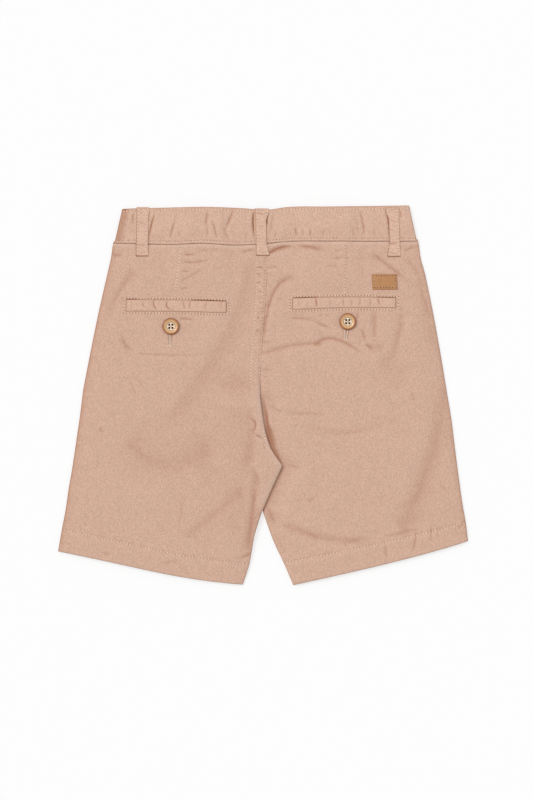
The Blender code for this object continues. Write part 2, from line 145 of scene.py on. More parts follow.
def ripple(place, wavelength, seed):
    """Uneven waves between -1 and 1 along a line, such as sewing pulls into cloth."""
    knots = np.random.default_rng(seed).uniform(-1.0, 1.0, 512)
    at = np.asarray(place) / wavelength + 256
    low = np.floor(at).astype(int)
    t = smooth(at - low)
    return knots[low] * (1 - t) + knots[low + 1] * t


def unevenness(x, y, size, seed):
    """Soft random bumps between -1 and 1 over the plan, about size millimetres apart."""
    knots = np.random.default_rng(seed).uniform(-1.0, 1.0, (128, 128))
    across, up = x / size + 64, y / size + 64
    i, j = np.floor(across).astype(int), np.floor(up).astype(int)
    s, t = smooth(across - i), smooth(up - j)
    low = knots[i, j] * (1 - s) + knots[i + 1, j] * s
    high = knots[i, j + 1] * (1 - s) + knots[i + 1, j + 1] * s
    return low * (1 - t) + high * t


print("a smooth step half way is", float(smooth(0.5)))

# %% The two legs, section by section from the waist seam to the hem
Section = namedtuple("Section", "outer_x outer_y back_x front_x inner_y loft fold sharp cells")
LEGS = {
    "left": [
        Section(-141, 144, 3, 3, 144.6, 1, 0, 0, 5),
        Section(-144.6, 129, 3, 3, 128.5, 2, 0, 0, 5),
        Section(-148.2, 113.5, 3, 3, 112.5, 2.8, 0, 0, 13),
        Section(-156.8, 75.5, 1, 1, 75.5, 3.6, 0, 0, 12),
        Section(-164.5, 37.5, -2.5, -2.5, 36.5, 3.6, 0, 0, 6),
        Section(-170.8, 5, -3, -3, 1.5, 3.4, 1, 1, 5),
        Section(-174, -21, 1, -3, -27, 3.2, 1, 0, 3),
        Section(-176.5, -38, 7.1, 4, -48.9, 3, 1, 0, 3),
        Section(-178.5, -52, 18.5, 14.5, -66.5, 3, 1, 1, 4),
        Section(-181.5, -71.5, 8.5, 6, -88.5, 3, 1, 0, 3),
        Section(-184.6, -89, -0.5, -2, -109.2, 3, 1, 1, 4),
        Section(-187.3, -108, -8, -8, -133.5, 2.6, 1, 0, 4),
        Section(-191, -127.5, -12.8, -12.8, -160, 2, 1, 0, 5),
        Section(-194.5, -148, -19, -19, -179.5, 1.6, 1, 1, 0),
    ],
    "right": [
        Section(146, 146.5, 3, 3, 144.6, 1, 0, 0, 5),
        Section(149.9, 129, 3, 3, 128.5, 2, 0, 0, 5),
        Section(154.2, 113.5, 3, 3, 112.5, 2.8, 0, 0, 13),
        Section(162, 75.5, 1, 1, 75.5, 3.6, 0, 0, 12),
        Section(168.8, 37.5, -2.5, -2.5, 36.5, 3.6, 0, 0, 6),
        Section(174.2, 5, -3, -3, 1.5, 3.4, 1, 1, 5),
        Section(178.6, -21.5, -7, -7, -27, 3.2, 1, 0, 3),
        Section(180.7, -38, -12, -12, -47, 3, 1, 0, 3),
        Section(182.8, -55, -14.5, -14.5, -66.5, 3, 1, 0, 4),
        Section(184.7, -70, -9.5, -9.5, -88.5, 3, 1, 0, 3),
        Section(186.2, -81, -0.5, -0.5, -109.5, 3, 1, 1, 4),
        Section(189, -101, 9.5, 9.5, -137.5, 2.6, 1, 0, 4),
        Section(192.3, -120, 19.5, 19.5, -159, 2, 1, 0, 5),
        Section(194.5, -138, 28.5, 28.5, -180, 1.6, 1, 1, 0),
    ],
}
HEM_SECTION = 12
HemBow = namedtuple("HemBow", "depth skew")
HEM_BOW = {"left": HemBow(3.2, 1.6), "right": HemBow(2.2, 0.75)}
for side, leg in LEGS.items():
    print(side, "leg:", len(leg), "sections, hem from x", leg[-1].outer_x, "to", leg[-1].back_x)

# %% The waistband, from the left end to the right end
BandSection = namedtuple("BandSection", "seam_x seam_y top_x top_y")
WAISTBAND = [
    BandSection(-141, 144.2, -133.5, 177),
    BandSection(-120, 144.1, -115, 177.7),
    BandSection(-86.5, 143.1, -83.5, 178.3),
    BandSection(-58, 144.2, -55, 178.8),
    BandSection(-26, 142.6, -24, 177.9),
    BandSection(3, 144.2, 3.5, 176.4),
    BandSection(27.5, 146.2, 26.5, 179),
    BandSection(63.5, 146.3, 60, 179.1),
    BandSection(103.5, 146.2, 99.5, 179.7),
    BandSection(146, 146.3, 138.5, 180.3),
]
BAND_CURVE_CELLS = 6


def band_lines(field):
    """One of the waistband's smooth edges."""
    cells = [BAND_CURVE_CELLS] * len(WAISTBAND)
    return curve_through([getattr(row, field) for row in WAISTBAND], [0] * len(WAISTBAND), cells)


SEAM_X, SEAM_Y = band_lines("seam_x"), band_lines("seam_y")
print("waist seam", SEAM_X[-1] - SEAM_X[0], "mm wide")

# %% [markdown]
# ## Folds and creases
#
# A fold in flat cloth is a long soft trough or ridge; a crease is the same thing with a tight bottom, where
# the cloth has been pressed. Both follow a curve through three points. Sculpting them by hand would work in
# Blender's sculpt mode, but a table keeps each one editable: move a number and that one fold moves. No two
# rows have the same length, depth or direction, because real creases never do.

# %% Soft folds of the two backs
Fold = namedtuple("Fold", "x0 y0 x1 y1 x2 y2 rise half_width lean", defaults=(0.0,))
SOFT_FOLDS = {
    "left": [
        Fold(-118, 122, -134.5, 102, -153, 66, -1.3, 6, 0.2),
        Fold(-13, 134, -32, 60, -98, -34, -1.5, 9, 0.3),
        Fold(-30, 118, -46, 70, -72, 26, 0.8, 13),
        Fold(-130, -36, -94, -67, -46, -46, -1.1, 10),
        Fold(-78, -138, -46, -112, -14, -82, -0.8, 8, -0.2),
        Fold(-4, -70, -9, -110, -14.5, -156, -1.5, 5),
        Fold(-11, -10, -11, -38, -16, -76, -1.1, 5),
        Fold(-134, 61.5, -131, 47, -118, 40, -1.1, 4.6),
        Fold(-140, -80, -120, -105, -95, -122, 0.6, 18),
        Fold(-128, -30, -92, -52, -44, -40, -0.9, 22),
        Fold(-24, 34, -24, -50, -24, -150, -1.4, 20),
    ],
    "right": [
        Fold(3, 130, 13, 138, 33, 141, -1.5, 3.6, 0.2),
        Fold(30, 141, 46, 140.5, 64, 136, -0.9, 3.6),
        Fold(14, 126, 30, 127, 50, 122, 0.6, 8),
        Fold(34, 113, 8.5, 93, 0, 42, -1.5, 3.8, -0.2),
        Fold(24, 72, 42, 73.5, 67, 64, -0.8, 3.6),
        Fold(-2, 38, 30, 47, 64, 48, -1.2, 3.6),
        Fold(46, 44.5, 66, 53.5, 98, 37.5, -1.2, 3.4),
        Fold(95, 48, 107, 45.5, 120, 47, -1.4, 4.4),
        Fold(131.5, 82, 130, 62, 119, 29, -1.2, 4.6),
        Fold(105, 84, 105.5, 68, 106, 50, -1, 3.8),
        Fold(91, 66, 95.5, 58, 97, 49, -0.7, 3.2),
        Fold(100, 137, 117, 124, 142, 105, -1.1, 5),
        Fold(130, 131, 144, 121, 149.5, 103, -1, 5),
        Fold(147, 113, 155, 82, 165, 38, -1.6, 6.5),
        Fold(138, 94, 139, 76, 133, 58, 0.6, 6),
        Fold(176, 20, 159, -58, 126, -140, -2.1, 10.5, 0.2),
        Fold(152, -18, 146, -56, 128, -98, 0.8, 10),
        Fold(180, -46, 180, -78, 183, -106, 0.6, 8),
        Fold(42, -26, 78, -36, 134, -18, -0.5, 3.8),
        Fold(-2, -104, 42, -131, 108, -137, -1.2, 4.4),
        Fold(112, 40, 122, 26, 138, 6, -1.1, 11),
        Fold(20, 28, 52, 34, 96, 26, 0.7, 13),
    ],
}
print("soft folds:", {side: len(rows) for side, rows in SOFT_FOLDS.items()})

# %% Crisp creases of the two backs
CREASES = {
    "left": [
        Fold(-133.5, 58, -130.5, 48, -121, 42.5, -0.4, 2.4, 0.2),
        Fold(-124, 40, -90, 38.5, -54, 38, -0.3, 1.9),
        Fold(-80, 72.5, -74, 72.5, -62, 71.5, -0.5, 1.6),
        Fold(-131, 24, -124, 9, -118.5, -3, -0.22, 2.2),
        Fold(-123, 20, -117, 13, -113, 6, -0.2, 2),
        Fold(-155.5, -29, -154, -32.5, -153, -36, -0.45, 2.6),
        Fold(-132, -42, -116, -55, -97, -65, -0.15, 3.4, 0.2),
        Fold(-80, -36, -60, -37.5, -42, -38.5, -0.12, 2.6),
        Fold(-76, -92, -77, -110, -80, -128, -0.25, 2.4),
        Fold(-14, -86, -42, -110, -72, -133, -0.2, 3.4, -0.2),
        Fold(-6.5, -84, -11, -118, -13.5, -148, -0.6, 3.2),
        Fold(-11, -143, -14, -151, -30, -155, -0.6, 2),
        Fold(-14.5, -20, -7, -27, -12, -38, -0.7, 1.7),
        Fold(-9.5, -35.5, -3, -39, 3, -42, -0.7, 1.4),
        Fold(-2, -44.5, 1, -45, 4.5, -45.5, -0.5, 1.4),
        Fold(-1, -48, 2, -49.5, 5, -50.5, -0.6, 1.4),
        Fold(0.5, -38.5, 1.8, -43, 3, -48.5, -0.6, 1.6),
        Fold(-8.5, -68, -7, -74, -3.5, -80, -0.3, 3),
        Fold(0, -69, 3.5, -76, 3, -83, -0.25, 2.6),
        Fold(-7, 120.5, -3, 121.5, 1, 120.8, -0.6, 1.4),
        Fold(-6.5, 115.5, -4, 115, -1.5, 113, -0.4, 1.4),
        Fold(-7.5, 106.5, -4.5, 107, -2, 107, -0.5, 1.3),
        Fold(-5.5, 99.5, -3, 98.5, 0, 97, -0.4, 1.4),
        Fold(-4.5, 88.8, -2, 88, 0, 87, -0.35, 1.3),
        Fold(-6.5, 75, -4.5, 73.8, -2.5, 72, -0.5, 1.3),
        Fold(-7, 61.5, -5.5, 61, -4, 60, -0.5, 1.3),
        Fold(-89.9, 59.5, -89.6, 53.5, -88.8, 47, -0.4, 0.9),
        Fold(-85.6, 59.5, -86.4, 53.5, -87.6, 47, -0.4, 0.9),
        Fold(-77, 133, -70, 133.5, -60, 133, -0.4, 1.6, 0.2),
        Fold(-81, 127.5, -66, 126, -48, 129.5, -0.5, 2, 0.2),
        Fold(-79, 118, -74, 117.5, -68, 118, -0.3, 1.5),
        Fold(-80, 107.5, -70, 112.5, -50, 124, -0.36, 1.9),
        Fold(-80, 101.5, -75, 101.5, -69, 102.5, -0.35, 1.5),
        Fold(-70, 136, -52, 138, -34, 137.5, -0.4, 3),
        Fold(-24, 133.5, -14, 137.5, -6, 138, -0.5, 2.2),
        Fold(-143, 134.5, -139, 133, -132, 133.5, -0.5, 1.8),
        Fold(-122, 118, -133.5, 102, -146, 80, -0.35, 2.8),
        Fold(-153, -148, -148, -150, -142, -150.5, -0.4, 2.8),
        Fold(-98, -161, -88, -158, -78, -159, -0.35, 3.2),
    ],
    "right": [
        Fold(3, 131, 13.5, 139.5, 32, 142, -0.9, 2),
        Fold(30, 142, 43, 141, 57, 138, -0.45, 1.9),
        Fold(4.5, 140.5, 8.5, 143, 12.5, 146, -0.7, 1.3),
        Fold(2, 122, 9, 121, 15.5, 125.5, -0.4, 1.6),
        Fold(2, 118, 6, 116, 11, 119.5, -0.2, 1.6),
        Fold(27, 111, 8.5, 94, 0.5, 44, -0.5, 2, -0.2),
        Fold(22, 71.5, 36, 73, 50, 69.5, -0.3, 1.6),
        Fold(48, 70, 57, 66.5, 66, 64, -0.42, 1.6),
        Fold(65, 64.5, 68, 66.5, 70, 69, -0.25, 1.3),
        Fold(50, 76, 60, 76.5, 69, 76, -0.15, 1.5),
        Fold(0, 39.5, 31, 48, 62, 48, -0.26, 2.2),
        Fold(48, 45, 66, 53.8, 96, 38.5, -0.38, 1.9),
        Fold(90.5, 65, 95.5, 57, 97, 49, -0.3, 2.2, 0.2),
        Fold(96.5, 48, 100, 46.5, 104.5, 43, -0.45, 1.9),
        Fold(105, 84, 105.5, 68, 106, 52, -0.22, 2.6),
        Fold(131, 78, 129.5, 62, 124, 44, -0.2, 3),
        Fold(89, 80, 89.5, 76, 88.5, 71.5, -0.4, 1.5),
        Fold(126, 84.5, 129, 82, 136, 82, -0.35, 1.4),
        Fold(-1.5, 25, 3, 24.5, 10, 24, -0.25, 1.5),
        Fold(0, 17, 2.5, 17.2, 5, 18.5, -0.25, 1.4),
        Fold(1, 27, 4, 28.2, 8, 30.5, -0.2, 1.4),
        Fold(-1, 50.5, 3, 50.5, 9, 51.5, -0.25, 1.5),
        Fold(75.8, 61.5, 75.2, 57, 74.6, 52.5, -0.4, 0.9),
        Fold(81, 61.5, 80.6, 57, 80.2, 52.5, -0.4, 0.9),
        Fold(102, 136, 119, 123, 141, 106, -0.5, 2.6),
        Fold(131, 130.5, 144, 121, 149, 104, -0.4, 2.8),
        Fold(148, 110, 154, 88, 160, 70, -0.6, 3),
        Fold(142, 4, 142, -1, 143, -6, -0.3, 2),
        Fold(54, -25, 78, -35.5, 99, -27, -0.16, 3.2),
        Fold(97, -27, 110, -20.5, 130, -21.5, -0.18, 3),
        Fold(6.5, -8.5, 12, -13, 20, -17, -0.4, 2),
        Fold(20, -17, 40, -17, 60, -18.5, -0.25, 1.8),
        Fold(172, 0, 163, -50, 140, -112, -0.3, 6.5),
        Fold(3, -103, 14, -112, 30, -117, -0.3, 3.4),
        Fold(3, -104.5, 7, -112, 13, -126, -0.6, 2.4),
        Fold(24, -118, 40, -129, 60, -137.5, -0.22, 3),
        Fold(66, -142.5, 82, -139, 96, -132.5, -0.2, 2.4),
        Fold(108, -136.5, 130, -130.5, 152, -125.5, -0.3, 2.4),
        Fold(145, -127, 144, -139, 140.5, -151, -0.5, 1.9),
        Fold(142, -153, 137, -154.5, 131, -154.5, -0.3, 1.9),
        Fold(159, -124, 159.5, -132, 159, -141, -0.4, 1.6),
        Fold(164.5, -125, 165.5, -131, 165, -137, -0.35, 1.5),
        Fold(117, -141, 116, -148, 118, -155, -0.4, 1.6),
        Fold(192, -117, 188, -123, 182, -128, -0.5, 1.7),
        Fold(26, -66.5, 31, -68, 35.5, -70.5, -0.35, 1.8),
        Fold(40, -101, 45, -99, 49.5, -95.5, -0.25, 1.8),
        Fold(165, -81, 170, -87, 176, -93, -0.25, 2),
        Fold(64, 129.5, 73, 130.5, 84, 130.5, -0.35, 1.6),
        Fold(66, 137, 72, 137.5, 80, 137, -0.3, 1.5),
        Fold(56, 120.5, 66, 122.5, 75, 118, -0.3, 2),
        Fold(70, 117, 74, 113, 79, 110, -0.3, 1.6),
        Fold(12, 91.5, 16, 91.5, 20, 89, -0.25, 1.6),
        Fold(145, 142, 139.5, 139.5, 133, 136, -0.5, 1.8),
    ],
}
print("crisp creases:", {side: len(rows) for side, rows in CREASES.items()})

# %% Height of the folds and creases over the plan
FOLD_STEPS = 16
FOLD_TAPER = 15.0
SHORTEST_TAPER, LONGEST_TAPER = 0.14, 0.42
CRISP_REACH, SOFT_REACH = 7.0, 3.4
CRISP_SPREAD, SOFT_SPREAD = 0.7, 1.15
LINE_REACH = 2.3
Marks = namedtuple("Marks", "height dark off line")


def crease_heights(folds, x, y, crisp):
    """Height and painted shade of the folds, and for crisp ones the way to the nearest line and the strength
    of its painted dark line.
    """
    total, dark, line, closest = (np.zeros_like(x) for _ in range(4))
    off = np.full_like(x, LINE_REACH)
    t = np.linspace(0.0, 1.0, FOLD_STEPS + 1)
    first, middle, last = (1 - t) * (1 - 2 * t), 4 * t * (1 - t), t * (2 * t - 1)
    for fold in folds:
        path_x = fold.x0 * first + fold.x1 * middle + fold.x2 * last
        path_y = fold.y0 * first + fold.y1 * middle + fold.y2 * last
        reach = (CRISP_REACH if crisp else SOFT_REACH) * fold.half_width
        near = (x > path_x.min() - reach) & (x < path_x.max() + reach)
        near &= (y > path_y.min() - reach) & (y < path_y.max() + reach)
        px, py = x[near], y[near]
        nearest, signed, place = np.full(px.shape, np.inf), np.zeros_like(px), np.zeros_like(px)
        for k in range(FOLD_STEPS):
            run_x, run_y = path_x[k + 1] - path_x[k], path_y[k + 1] - path_y[k]
            along = ((px - path_x[k]) * run_x + (py - path_y[k]) * run_y) / (run_x**2 + run_y**2)
            along = np.clip(along, 0, 1)
            off_x, off_y = px - path_x[k] - along * run_x, py - path_y[k] - along * run_y
            away = np.hypot(off_x, off_y)
            closer = away < nearest
            nearest = np.where(closer, away, nearest)
            signed = np.where(closer, np.sign(run_x * off_y - run_y * off_x), signed)
            place = np.where(closer, (k + along) / FOLD_STEPS, place)
        spread = (CRISP_SPREAD if crisp else SOFT_SPREAD) * fold.half_width * (1 + fold.lean * signed)
        length = np.hypot(np.diff(path_x), np.diff(path_y)).sum()
        taper = min(LONGEST_TAPER, max(SHORTEST_TAPER, FOLD_TAPER / length))
        ends = smooth(place / taper + 0.06) * smooth((1 - place) / taper + 0.06)
        if crisp:
            tip = 0.35 * spread
            profile = np.exp(-(np.hypot(nearest, tip) - tip) / spread)
            profile -= 0.30 * groove(nearest - 2.0 * fold.half_width, 1.2 * fold.half_width)
            sharp = np.clip((3.2 - fold.half_width) / 1.6, 0.12, 1.0)
            strength = -fold.rise * ends * sharp * smooth((LINE_REACH - nearest) / 0.7)
            claim = strength * groove(nearest, 1.2)
            wins = claim > closest[near]
            for kept, value in ((closest, claim), (line, strength), (off, signed * nearest)):
                kept[near] = np.where(wins, value, kept[near])
        else:
            profile = groove(nearest, spread)
        total[near] += fold.rise * ends * profile
        dark[near] -= fold.rise * ends * np.maximum(profile, 0.0)
    return Marks(total, dark, off, line)


print("each fold follows a curve of", FOLD_STEPS, "steps")

# %% [markdown]
# ## The plan of a panel
#
# A pattern piece becomes a grid: rows run down the leg, columns run in from the side seam. A cloth grid can
# be cut with equal cells, but the edges roll over within a millimetre or two, so the columns are crowded
# there and spread out in the middle, where the folds are wide.

# %% Rows and columns of a leg panel
def section_lines(leg, field, finer):
    """A column of a leg's table, read at every row of the grid."""
    cells = [row.cells * finer for row in leg]
    return curve_through([getattr(row, field) for row in leg], [row.sharp for row in leg], cells)[:, None]


def crowded_at_edges(count):
    """Places from 0 to 1, three times closer together at the two ends."""
    t = np.linspace(0.0, 1.0, count + 1)
    return 0.45 * t + 0.55 * (0.5 - 0.5 * np.cos(math.pi * t))


Plan = namedtuple("Plan", "x y section from_side from_inner from_seam")


def plan_of_panel(side, inner, columns, finer, lap):
    """Where the cloth lies. lap carries the inner edge on over its neighbour along the seat seam."""
    leg = LEGS[side]
    edge = SEAM_SPACE if side == "right" else -SEAM_SPACE
    fold = section_lines(leg, "fold", finer)
    outer_x, outer_y = section_lines(leg, "outer_x", finer), section_lines(leg, "outer_y", finer)
    inner_x, inner_y = section_lines(leg, inner, finer), section_lines(leg, "inner_y", finer)
    inner_x = inner_x + edge + lap * (1 - fold)
    u = crowded_at_edges(columns)[None, :]
    x, y = outer_x + (inner_x - outer_x) * u, outer_y + (inner_y - outer_y) * u
    cells = [row.cells * finer for row in leg]
    section = curve_through(np.arange(len(leg)), [1] * len(leg), cells)[:, None] + 0 * u
    y += smooth(1.0 - section) * (np.interp(x, SEAM_X, SEAM_Y) - y + WAIST_TUCK) * (section < 1)
    bow = HEM_BOW[side]
    y -= bow.depth * np.sin(math.pi * u**bow.skew) * smooth(section - (HEM_SECTION - 1))
    width = np.abs(inner_x - outer_x)
    return Plan(x, y, section, width * u, width * (1 - u), np.interp(x, SEAM_X, SEAM_Y) - y)


BACK_GRID = {"columns": 168, "finer": 4}
FRONT_GRID = {"columns": 60, "finer": 2}
trial = plan_of_panel("left", "back_x", lap=SEAM_LAP, **BACK_GRID)
print("back panel grid:", trial.x.shape)

# %% [markdown]
# ## Where layers lift each other
#
# Three things underneath show through on top: the two front belt loops raise everything above them, and
# the left leg's crotch is folded over the right one's, so it stands proud and leaves the right leg in a
# hollow beside it. Each is a smooth hill over the plan, shared by every layer that passes over it, which
# keeps the layers apart without any collision test.

# %% Lifts shared by the layers
def loop_lift(x, y):
    """How far the cloth rises over the front belt loops."""
    across = smooth((34.0 - np.abs(np.abs(x) - FRONT_LOOP_X)) / 17.0)
    return FRONT_LOOP_LIFT * across * smooth((y - 92.0) / 24.0)


def flap_lift(x, y):
    """How far the left leg rises to lie over the right leg's crotch."""
    inwards = smooth((x + 58.0) / 36.0)
    return FLAP_HEIGHT * inwards * smooth((14.0 - y) / 24.0) * smooth((y + 178.0) / 56.0)


def beside_flap(x, y):
    """How far a place lies to the right of the flap's edge, and 1 where the flap covers it or nears it."""
    rows = [row for row in LEGS["left"] if row.inner_y < 40]
    past = x - np.interp(-y, [-row.inner_y for row in rows], [row.back_x for row in rows])
    covered = smooth((24.0 - past) / 22.0) * smooth((16.0 - y) / 20.0) * smooth((y + 140.0) / 24.0)
    return past, covered


FlapShade = namedtuple("FlapShade", "y width fade strength")
FLAP_SHADES = [
    FlapShade(-112, 0.6, 2.5, 0.35),
    FlapShade(-99, 0.8, 4, 0.55),
    FlapShade(-85, 1, 4.5, 0.45),
    FlapShade(-72, 1.4, 3.6, 0.48),
    FlapShade(-66, 0.6, 2.4, 0.42),
    FlapShade(-61, 0.8, 3, 0.8),
    FlapShade(-56, 1.2, 4.2, 0.85),
    FlapShade(-46, 2, 6.5, 0.85),
    FlapShade(-40, 2.5, 6, 0.95),
    FlapShade(-33, 3.2, 4.6, 1.05),
    FlapShade(-25, 3.8, 1.6, 1.05),
    FlapShade(-18, 4.4, 1, 0.85),
    FlapShade(-8, 3, 2.2, 0.45),
    FlapShade(2, 1.8, 1.5, 0.2),
    FlapShade(12, 0.8, 1, 0),
]


def flap_shade(x, y):
    """Painted shadow of the flap on the right leg beside it: a core of one width, then a fade."""
    past, _ = beside_flap(x, y)
    heights = [row.y for row in FLAP_SHADES]
    width, fade, strength = (np.interp(y, heights, [getattr(row, field) for row in FLAP_SHADES])
                             for field in ("width", "fade", "strength"))
    lit_edge = 1.0 - 0.8 * smooth((y + 40.0) / 16.0) * smooth((2.4 - past) / 1.8)
    return strength * lit_edge * smooth((width + fade - past) / fade) * smooth((past + 3.0) / 2.0)


print("the flap stands", float(flap_lift(0.0, -60.0)), "mm high")

# %% [markdown]
# ## The back of each leg
#
# The height is built up in the order a garment gets its shape: air inside the leg, long folds, pressed
# creases, then the small puckers that thread pulls in along every seam. The seat seam is felled: the left
# back laps over the right one in a strip between two rows of stitches. Displacement from a texture could
# do the puckers, but here they have to stay on their own seams, so they are part of the formula.

# %% What the sewing does to the cloth
STRIP = 8.5
SEAT_ROWS = (1.4, 8.4)
Dart = namedtuple("Dart", "x0 y0 x1 y1 side")
DARTS = {"left": Dart(-78, 146, -83.5, 93.5, 1), "right": Dart(78, 148, 77, 96, -1)}


def sewn_heights(side, plan):
    """Grooves and puckers along the seams, hem, dart and waist."""
    x, y = plan.x, plan.y
    seed = 10 if side == "left" else 20
    below_row = (plan.section - HEM_SECTION) * HEM_DEPTH
    rise = -0.28 * groove(below_row, 1.0)
    rise += 0.16 * ripple(x + 0.4 * y, 4.5, seed) * groove(below_row, 4.0)
    rise += 0.14 * ripple(x + 0.9 * y, 6.0, seed + 1) * groove(below_row - 12.0, 9.0)
    rise += 0.30 * ripple(x, 4.5, seed + 2) * groove(plan.from_seam, 5.0)
    rise += 0.18 * ripple(y, 5.0, seed + 3) * groove(plan.from_side, 5.0)
    dart = DARTS[side]
    run_x, run_y = dart.x1 - dart.x0, dart.y1 - dart.y0
    length = math.hypot(run_x, run_y)
    along = ((x - dart.x0) * run_x + (y - dart.y0) * run_y) / length**2
    across = ((x - dart.x0) * run_y - (y - dart.y0) * run_x) / length * dart.side
    taper = smooth((1.0 - along) / 0.5)
    rise += 0.45 * taper * smooth(0.5 - across / 1.4) * smooth((across + 11.0) / 10.0)
    rise += 0.20 * taper * ripple(y, 3.6, seed + 4) * groove(across, 4.0)
    return rise


def seat_heights(side, plan, fold):
    """The felled strip on the left back, and puckers across the seam on both."""
    seam = 1 - fold
    seed = 30 if side == "left" else 40
    puckers = 0.26 * ripple(plan.y, 3.4, seed) * groove(plan.from_inner - 4.0, 5.0)
    if side == "right":
        return seam * (puckers - 0.25 * np.exp(-plan.from_inner / 1.6))
    inside = plan.from_inner - SEAM_LAP
    strip = 0.28 * smooth((STRIP + 1.6 - inside) / 2.4)
    strip -= 0.15 * sum(groove(inside - row, 0.7) for row in SEAT_ROWS)
    strip -= 0.40 * np.exp(-plan.from_inner / 0.6)
    return seam * (puckers + strip)


print("felled strip", STRIP, "mm wide, rows at", SEAT_ROWS)

# %% Top surface of a back
# How much of the fold depth is painted as shade, and how strong the painted dark crease lines are;
# INSEAM_SHADE is painted shade along the inseam.
SOFT_SHARE, SOFT_SHADE, CRISP_SHADE, LINE_SHADE = 0.55, 0.10, 0.14, 0.60
INSEAM_SHADE = {"left": 0.21, "right": 0.16}


def across_the_seam(table, side, x, y, crisp):
    """This side's folds, and above the crotch the other side's too, because cloth goes on over a seam."""
    other = "right" if side == "left" else "left"
    near = smooth((y - 4.0) / 22.0) * smooth((46.0 - np.abs(x)) / 16.0)
    here, there = crease_heights(table[side], x, y, crisp), crease_heights(table[other], x, y, crisp)
    stronger = near * there.line > here.line
    off = np.where(stronger, there.off, here.off)
    line = np.where(stronger, near * there.line, here.line)
    return Marks(here.height + near * there.height, here.dark + near * there.dark, off, line)


def back_surface(side):
    """Places, heights, and the painted shade at each, with painted highlight where it is negative."""
    leg = LEGS[side]
    lap = SEAM_LAP if side == "left" else 0.0
    plan = plan_of_panel(side, "back_x", lap=lap, **BACK_GRID)
    x, y = plan.x, plan.y
    loft = section_lines(leg, "loft", BACK_GRID["finer"])
    fold = section_lines(leg, "fold", BACK_GRID["finer"])
    curl = (1 - np.exp(-plan.from_side / 8.0)) * (1 - fold * np.exp(-plan.from_inner / 5.0))
    fade = smooth(plan.from_seam / 5.0) * (0.25 + 0.75 * curl)
    soft = across_the_seam(SOFT_FOLDS, side, x, y, crisp=False)
    crisp = across_the_seam(CREASES, side, x, y, crisp=True)
    off_seam = smooth(plan.from_seam / 2.0)
    rise = loft * curl + SOFT_SHARE * soft.height * fade + crisp.height * off_seam
    rise += 0.30 * unevenness(x, y, size=24.0, seed=1) + 0.12 * unevenness(x, y, size=9.0, seed=2)
    rise += 0.35 * smooth((plan.section - HEM_SECTION) / 0.06) + sewn_heights(side, plan)
    rise += seat_heights(side, plan, fold)
    # Painted shade in the folds and creases, and along the side seam.
    press_and_painted_light = SOFT_SHADE * soft.dark * fade + CRISP_SHADE * crisp.dark * off_seam
    press_and_painted_light += 0.50 * np.exp(-plan.from_side / 1.8)
    # Painted shade along the inseam below the crotch.
    below_crotch = smooth((-98.0 - y) / 14.0)
    by_inseam = smooth((10.0 - plan.from_inner) / 6.0) * smooth((y + 155.0) / 12.0)
    press_and_painted_light += INSEAM_SHADE[side] * below_crotch * by_inseam
    if side == "left":
        rise = soft_floor(rise) + flap_lift(x, y)
        # Painted shade near the left side seam, and a painted highlight along the folded inner edge above the
        # crotch.
        press_and_painted_light += 0.24 * np.exp(-plan.from_side / 6.0)
        press_and_painted_light -= 2.0 * fold * (1 - below_crotch) * np.exp(-plan.from_inner / 3.0)
    else:
        _, covered = beside_flap(x, y)
        bed = -0.7 + 1.0 * smooth((-6.0 - y) / 22.0)
        rise = soft_floor(rise) * (1 - covered) + bed * covered
        # Painted shadow of the flap on the right leg.
        press_and_painted_light += flap_shade(x, y)
    z = SOLID_EDGE_TOP + rise + loop_lift(x, y)
    from_hem = (len(leg) - 1 - plan.section) * HEM_DEPTH
    for distance, share in ((plan.from_side, 1), (plan.from_inner, fold), (from_hem, 0.7)):
        z -= EDGE_ROLL * share * np.exp(-distance / EDGE_ROLL_WIDTH)
    tucked = SOLID_EDGE_TOP + 0.4 + loop_lift(x, y)
    z += (tucked - z) * smooth((1.2 - plan.from_seam) / 1.6)
    # Painted shade along the waist seam, and a painted highlight just below it.
    seam_shade = 0.20 * np.exp(-np.maximum(plan.from_seam, 0.0) / EDGE_FADE)
    press_and_painted_light += seam_shade - 0.9 * groove(plan.from_seam - 1.5, 1.0)
    return x, y, z, press_and_painted_light, crisp.off, LINE_SHADE * crisp.line * off_seam


backs = {side: back_surface(side) for side in LEGS}
for side, (x, y, z, *_) in backs.items():
    print(side, "back: height", round(float(z.min()), 2), "to", round(float(z.max()), 2), "mm")

# %% [markdown]
# ## The front of each leg
#
# The fronts lie face down on the table. They are pressed nearly flat, with a few shallow creases that go
# up into the leg, and their waist edge is tucked above the front waistband, as a seam allowance is.

# %% Top surface of a front
FRONT_CREASES = {
    "left": [
        Fold(-120, 110, -96, 92, -80, 60, 0.5, 3.5),
        Fold(-20, 100, -34, 84, -62, 74, 0.45, 3, 0.2),
        Fold(-12, 12, -44, 2, -82, 6, 0.5, 3.6),
        Fold(-150, -20, -126, -52, -118, -86, 0.4, 4),
        Fold(-90, -60, -66, -84, -34, -92, 0.5, 3.2, -0.2),
        Fold(-60, -150, -52, -128, -54, -104, 0.35, 2.6),
    ],
    "right": [
        Fold(24, 112, 40, 88, 70, 78, 0.5, 3.2),
        Fold(138, 104, 120, 84, 112, 50, 0.4, 3.8, 0.2),
        Fold(10, 22, 44, 10, 76, 16, 0.5, 3.4),
        Fold(150, 10, 136, -24, 140, -62, 0.45, 3.8),
        Fold(30, -70, 60, -88, 92, -84, 0.4, 3),
        Fold(96, -150, 92, -128, 100, -106, 0.4, 2.8),
    ],
}


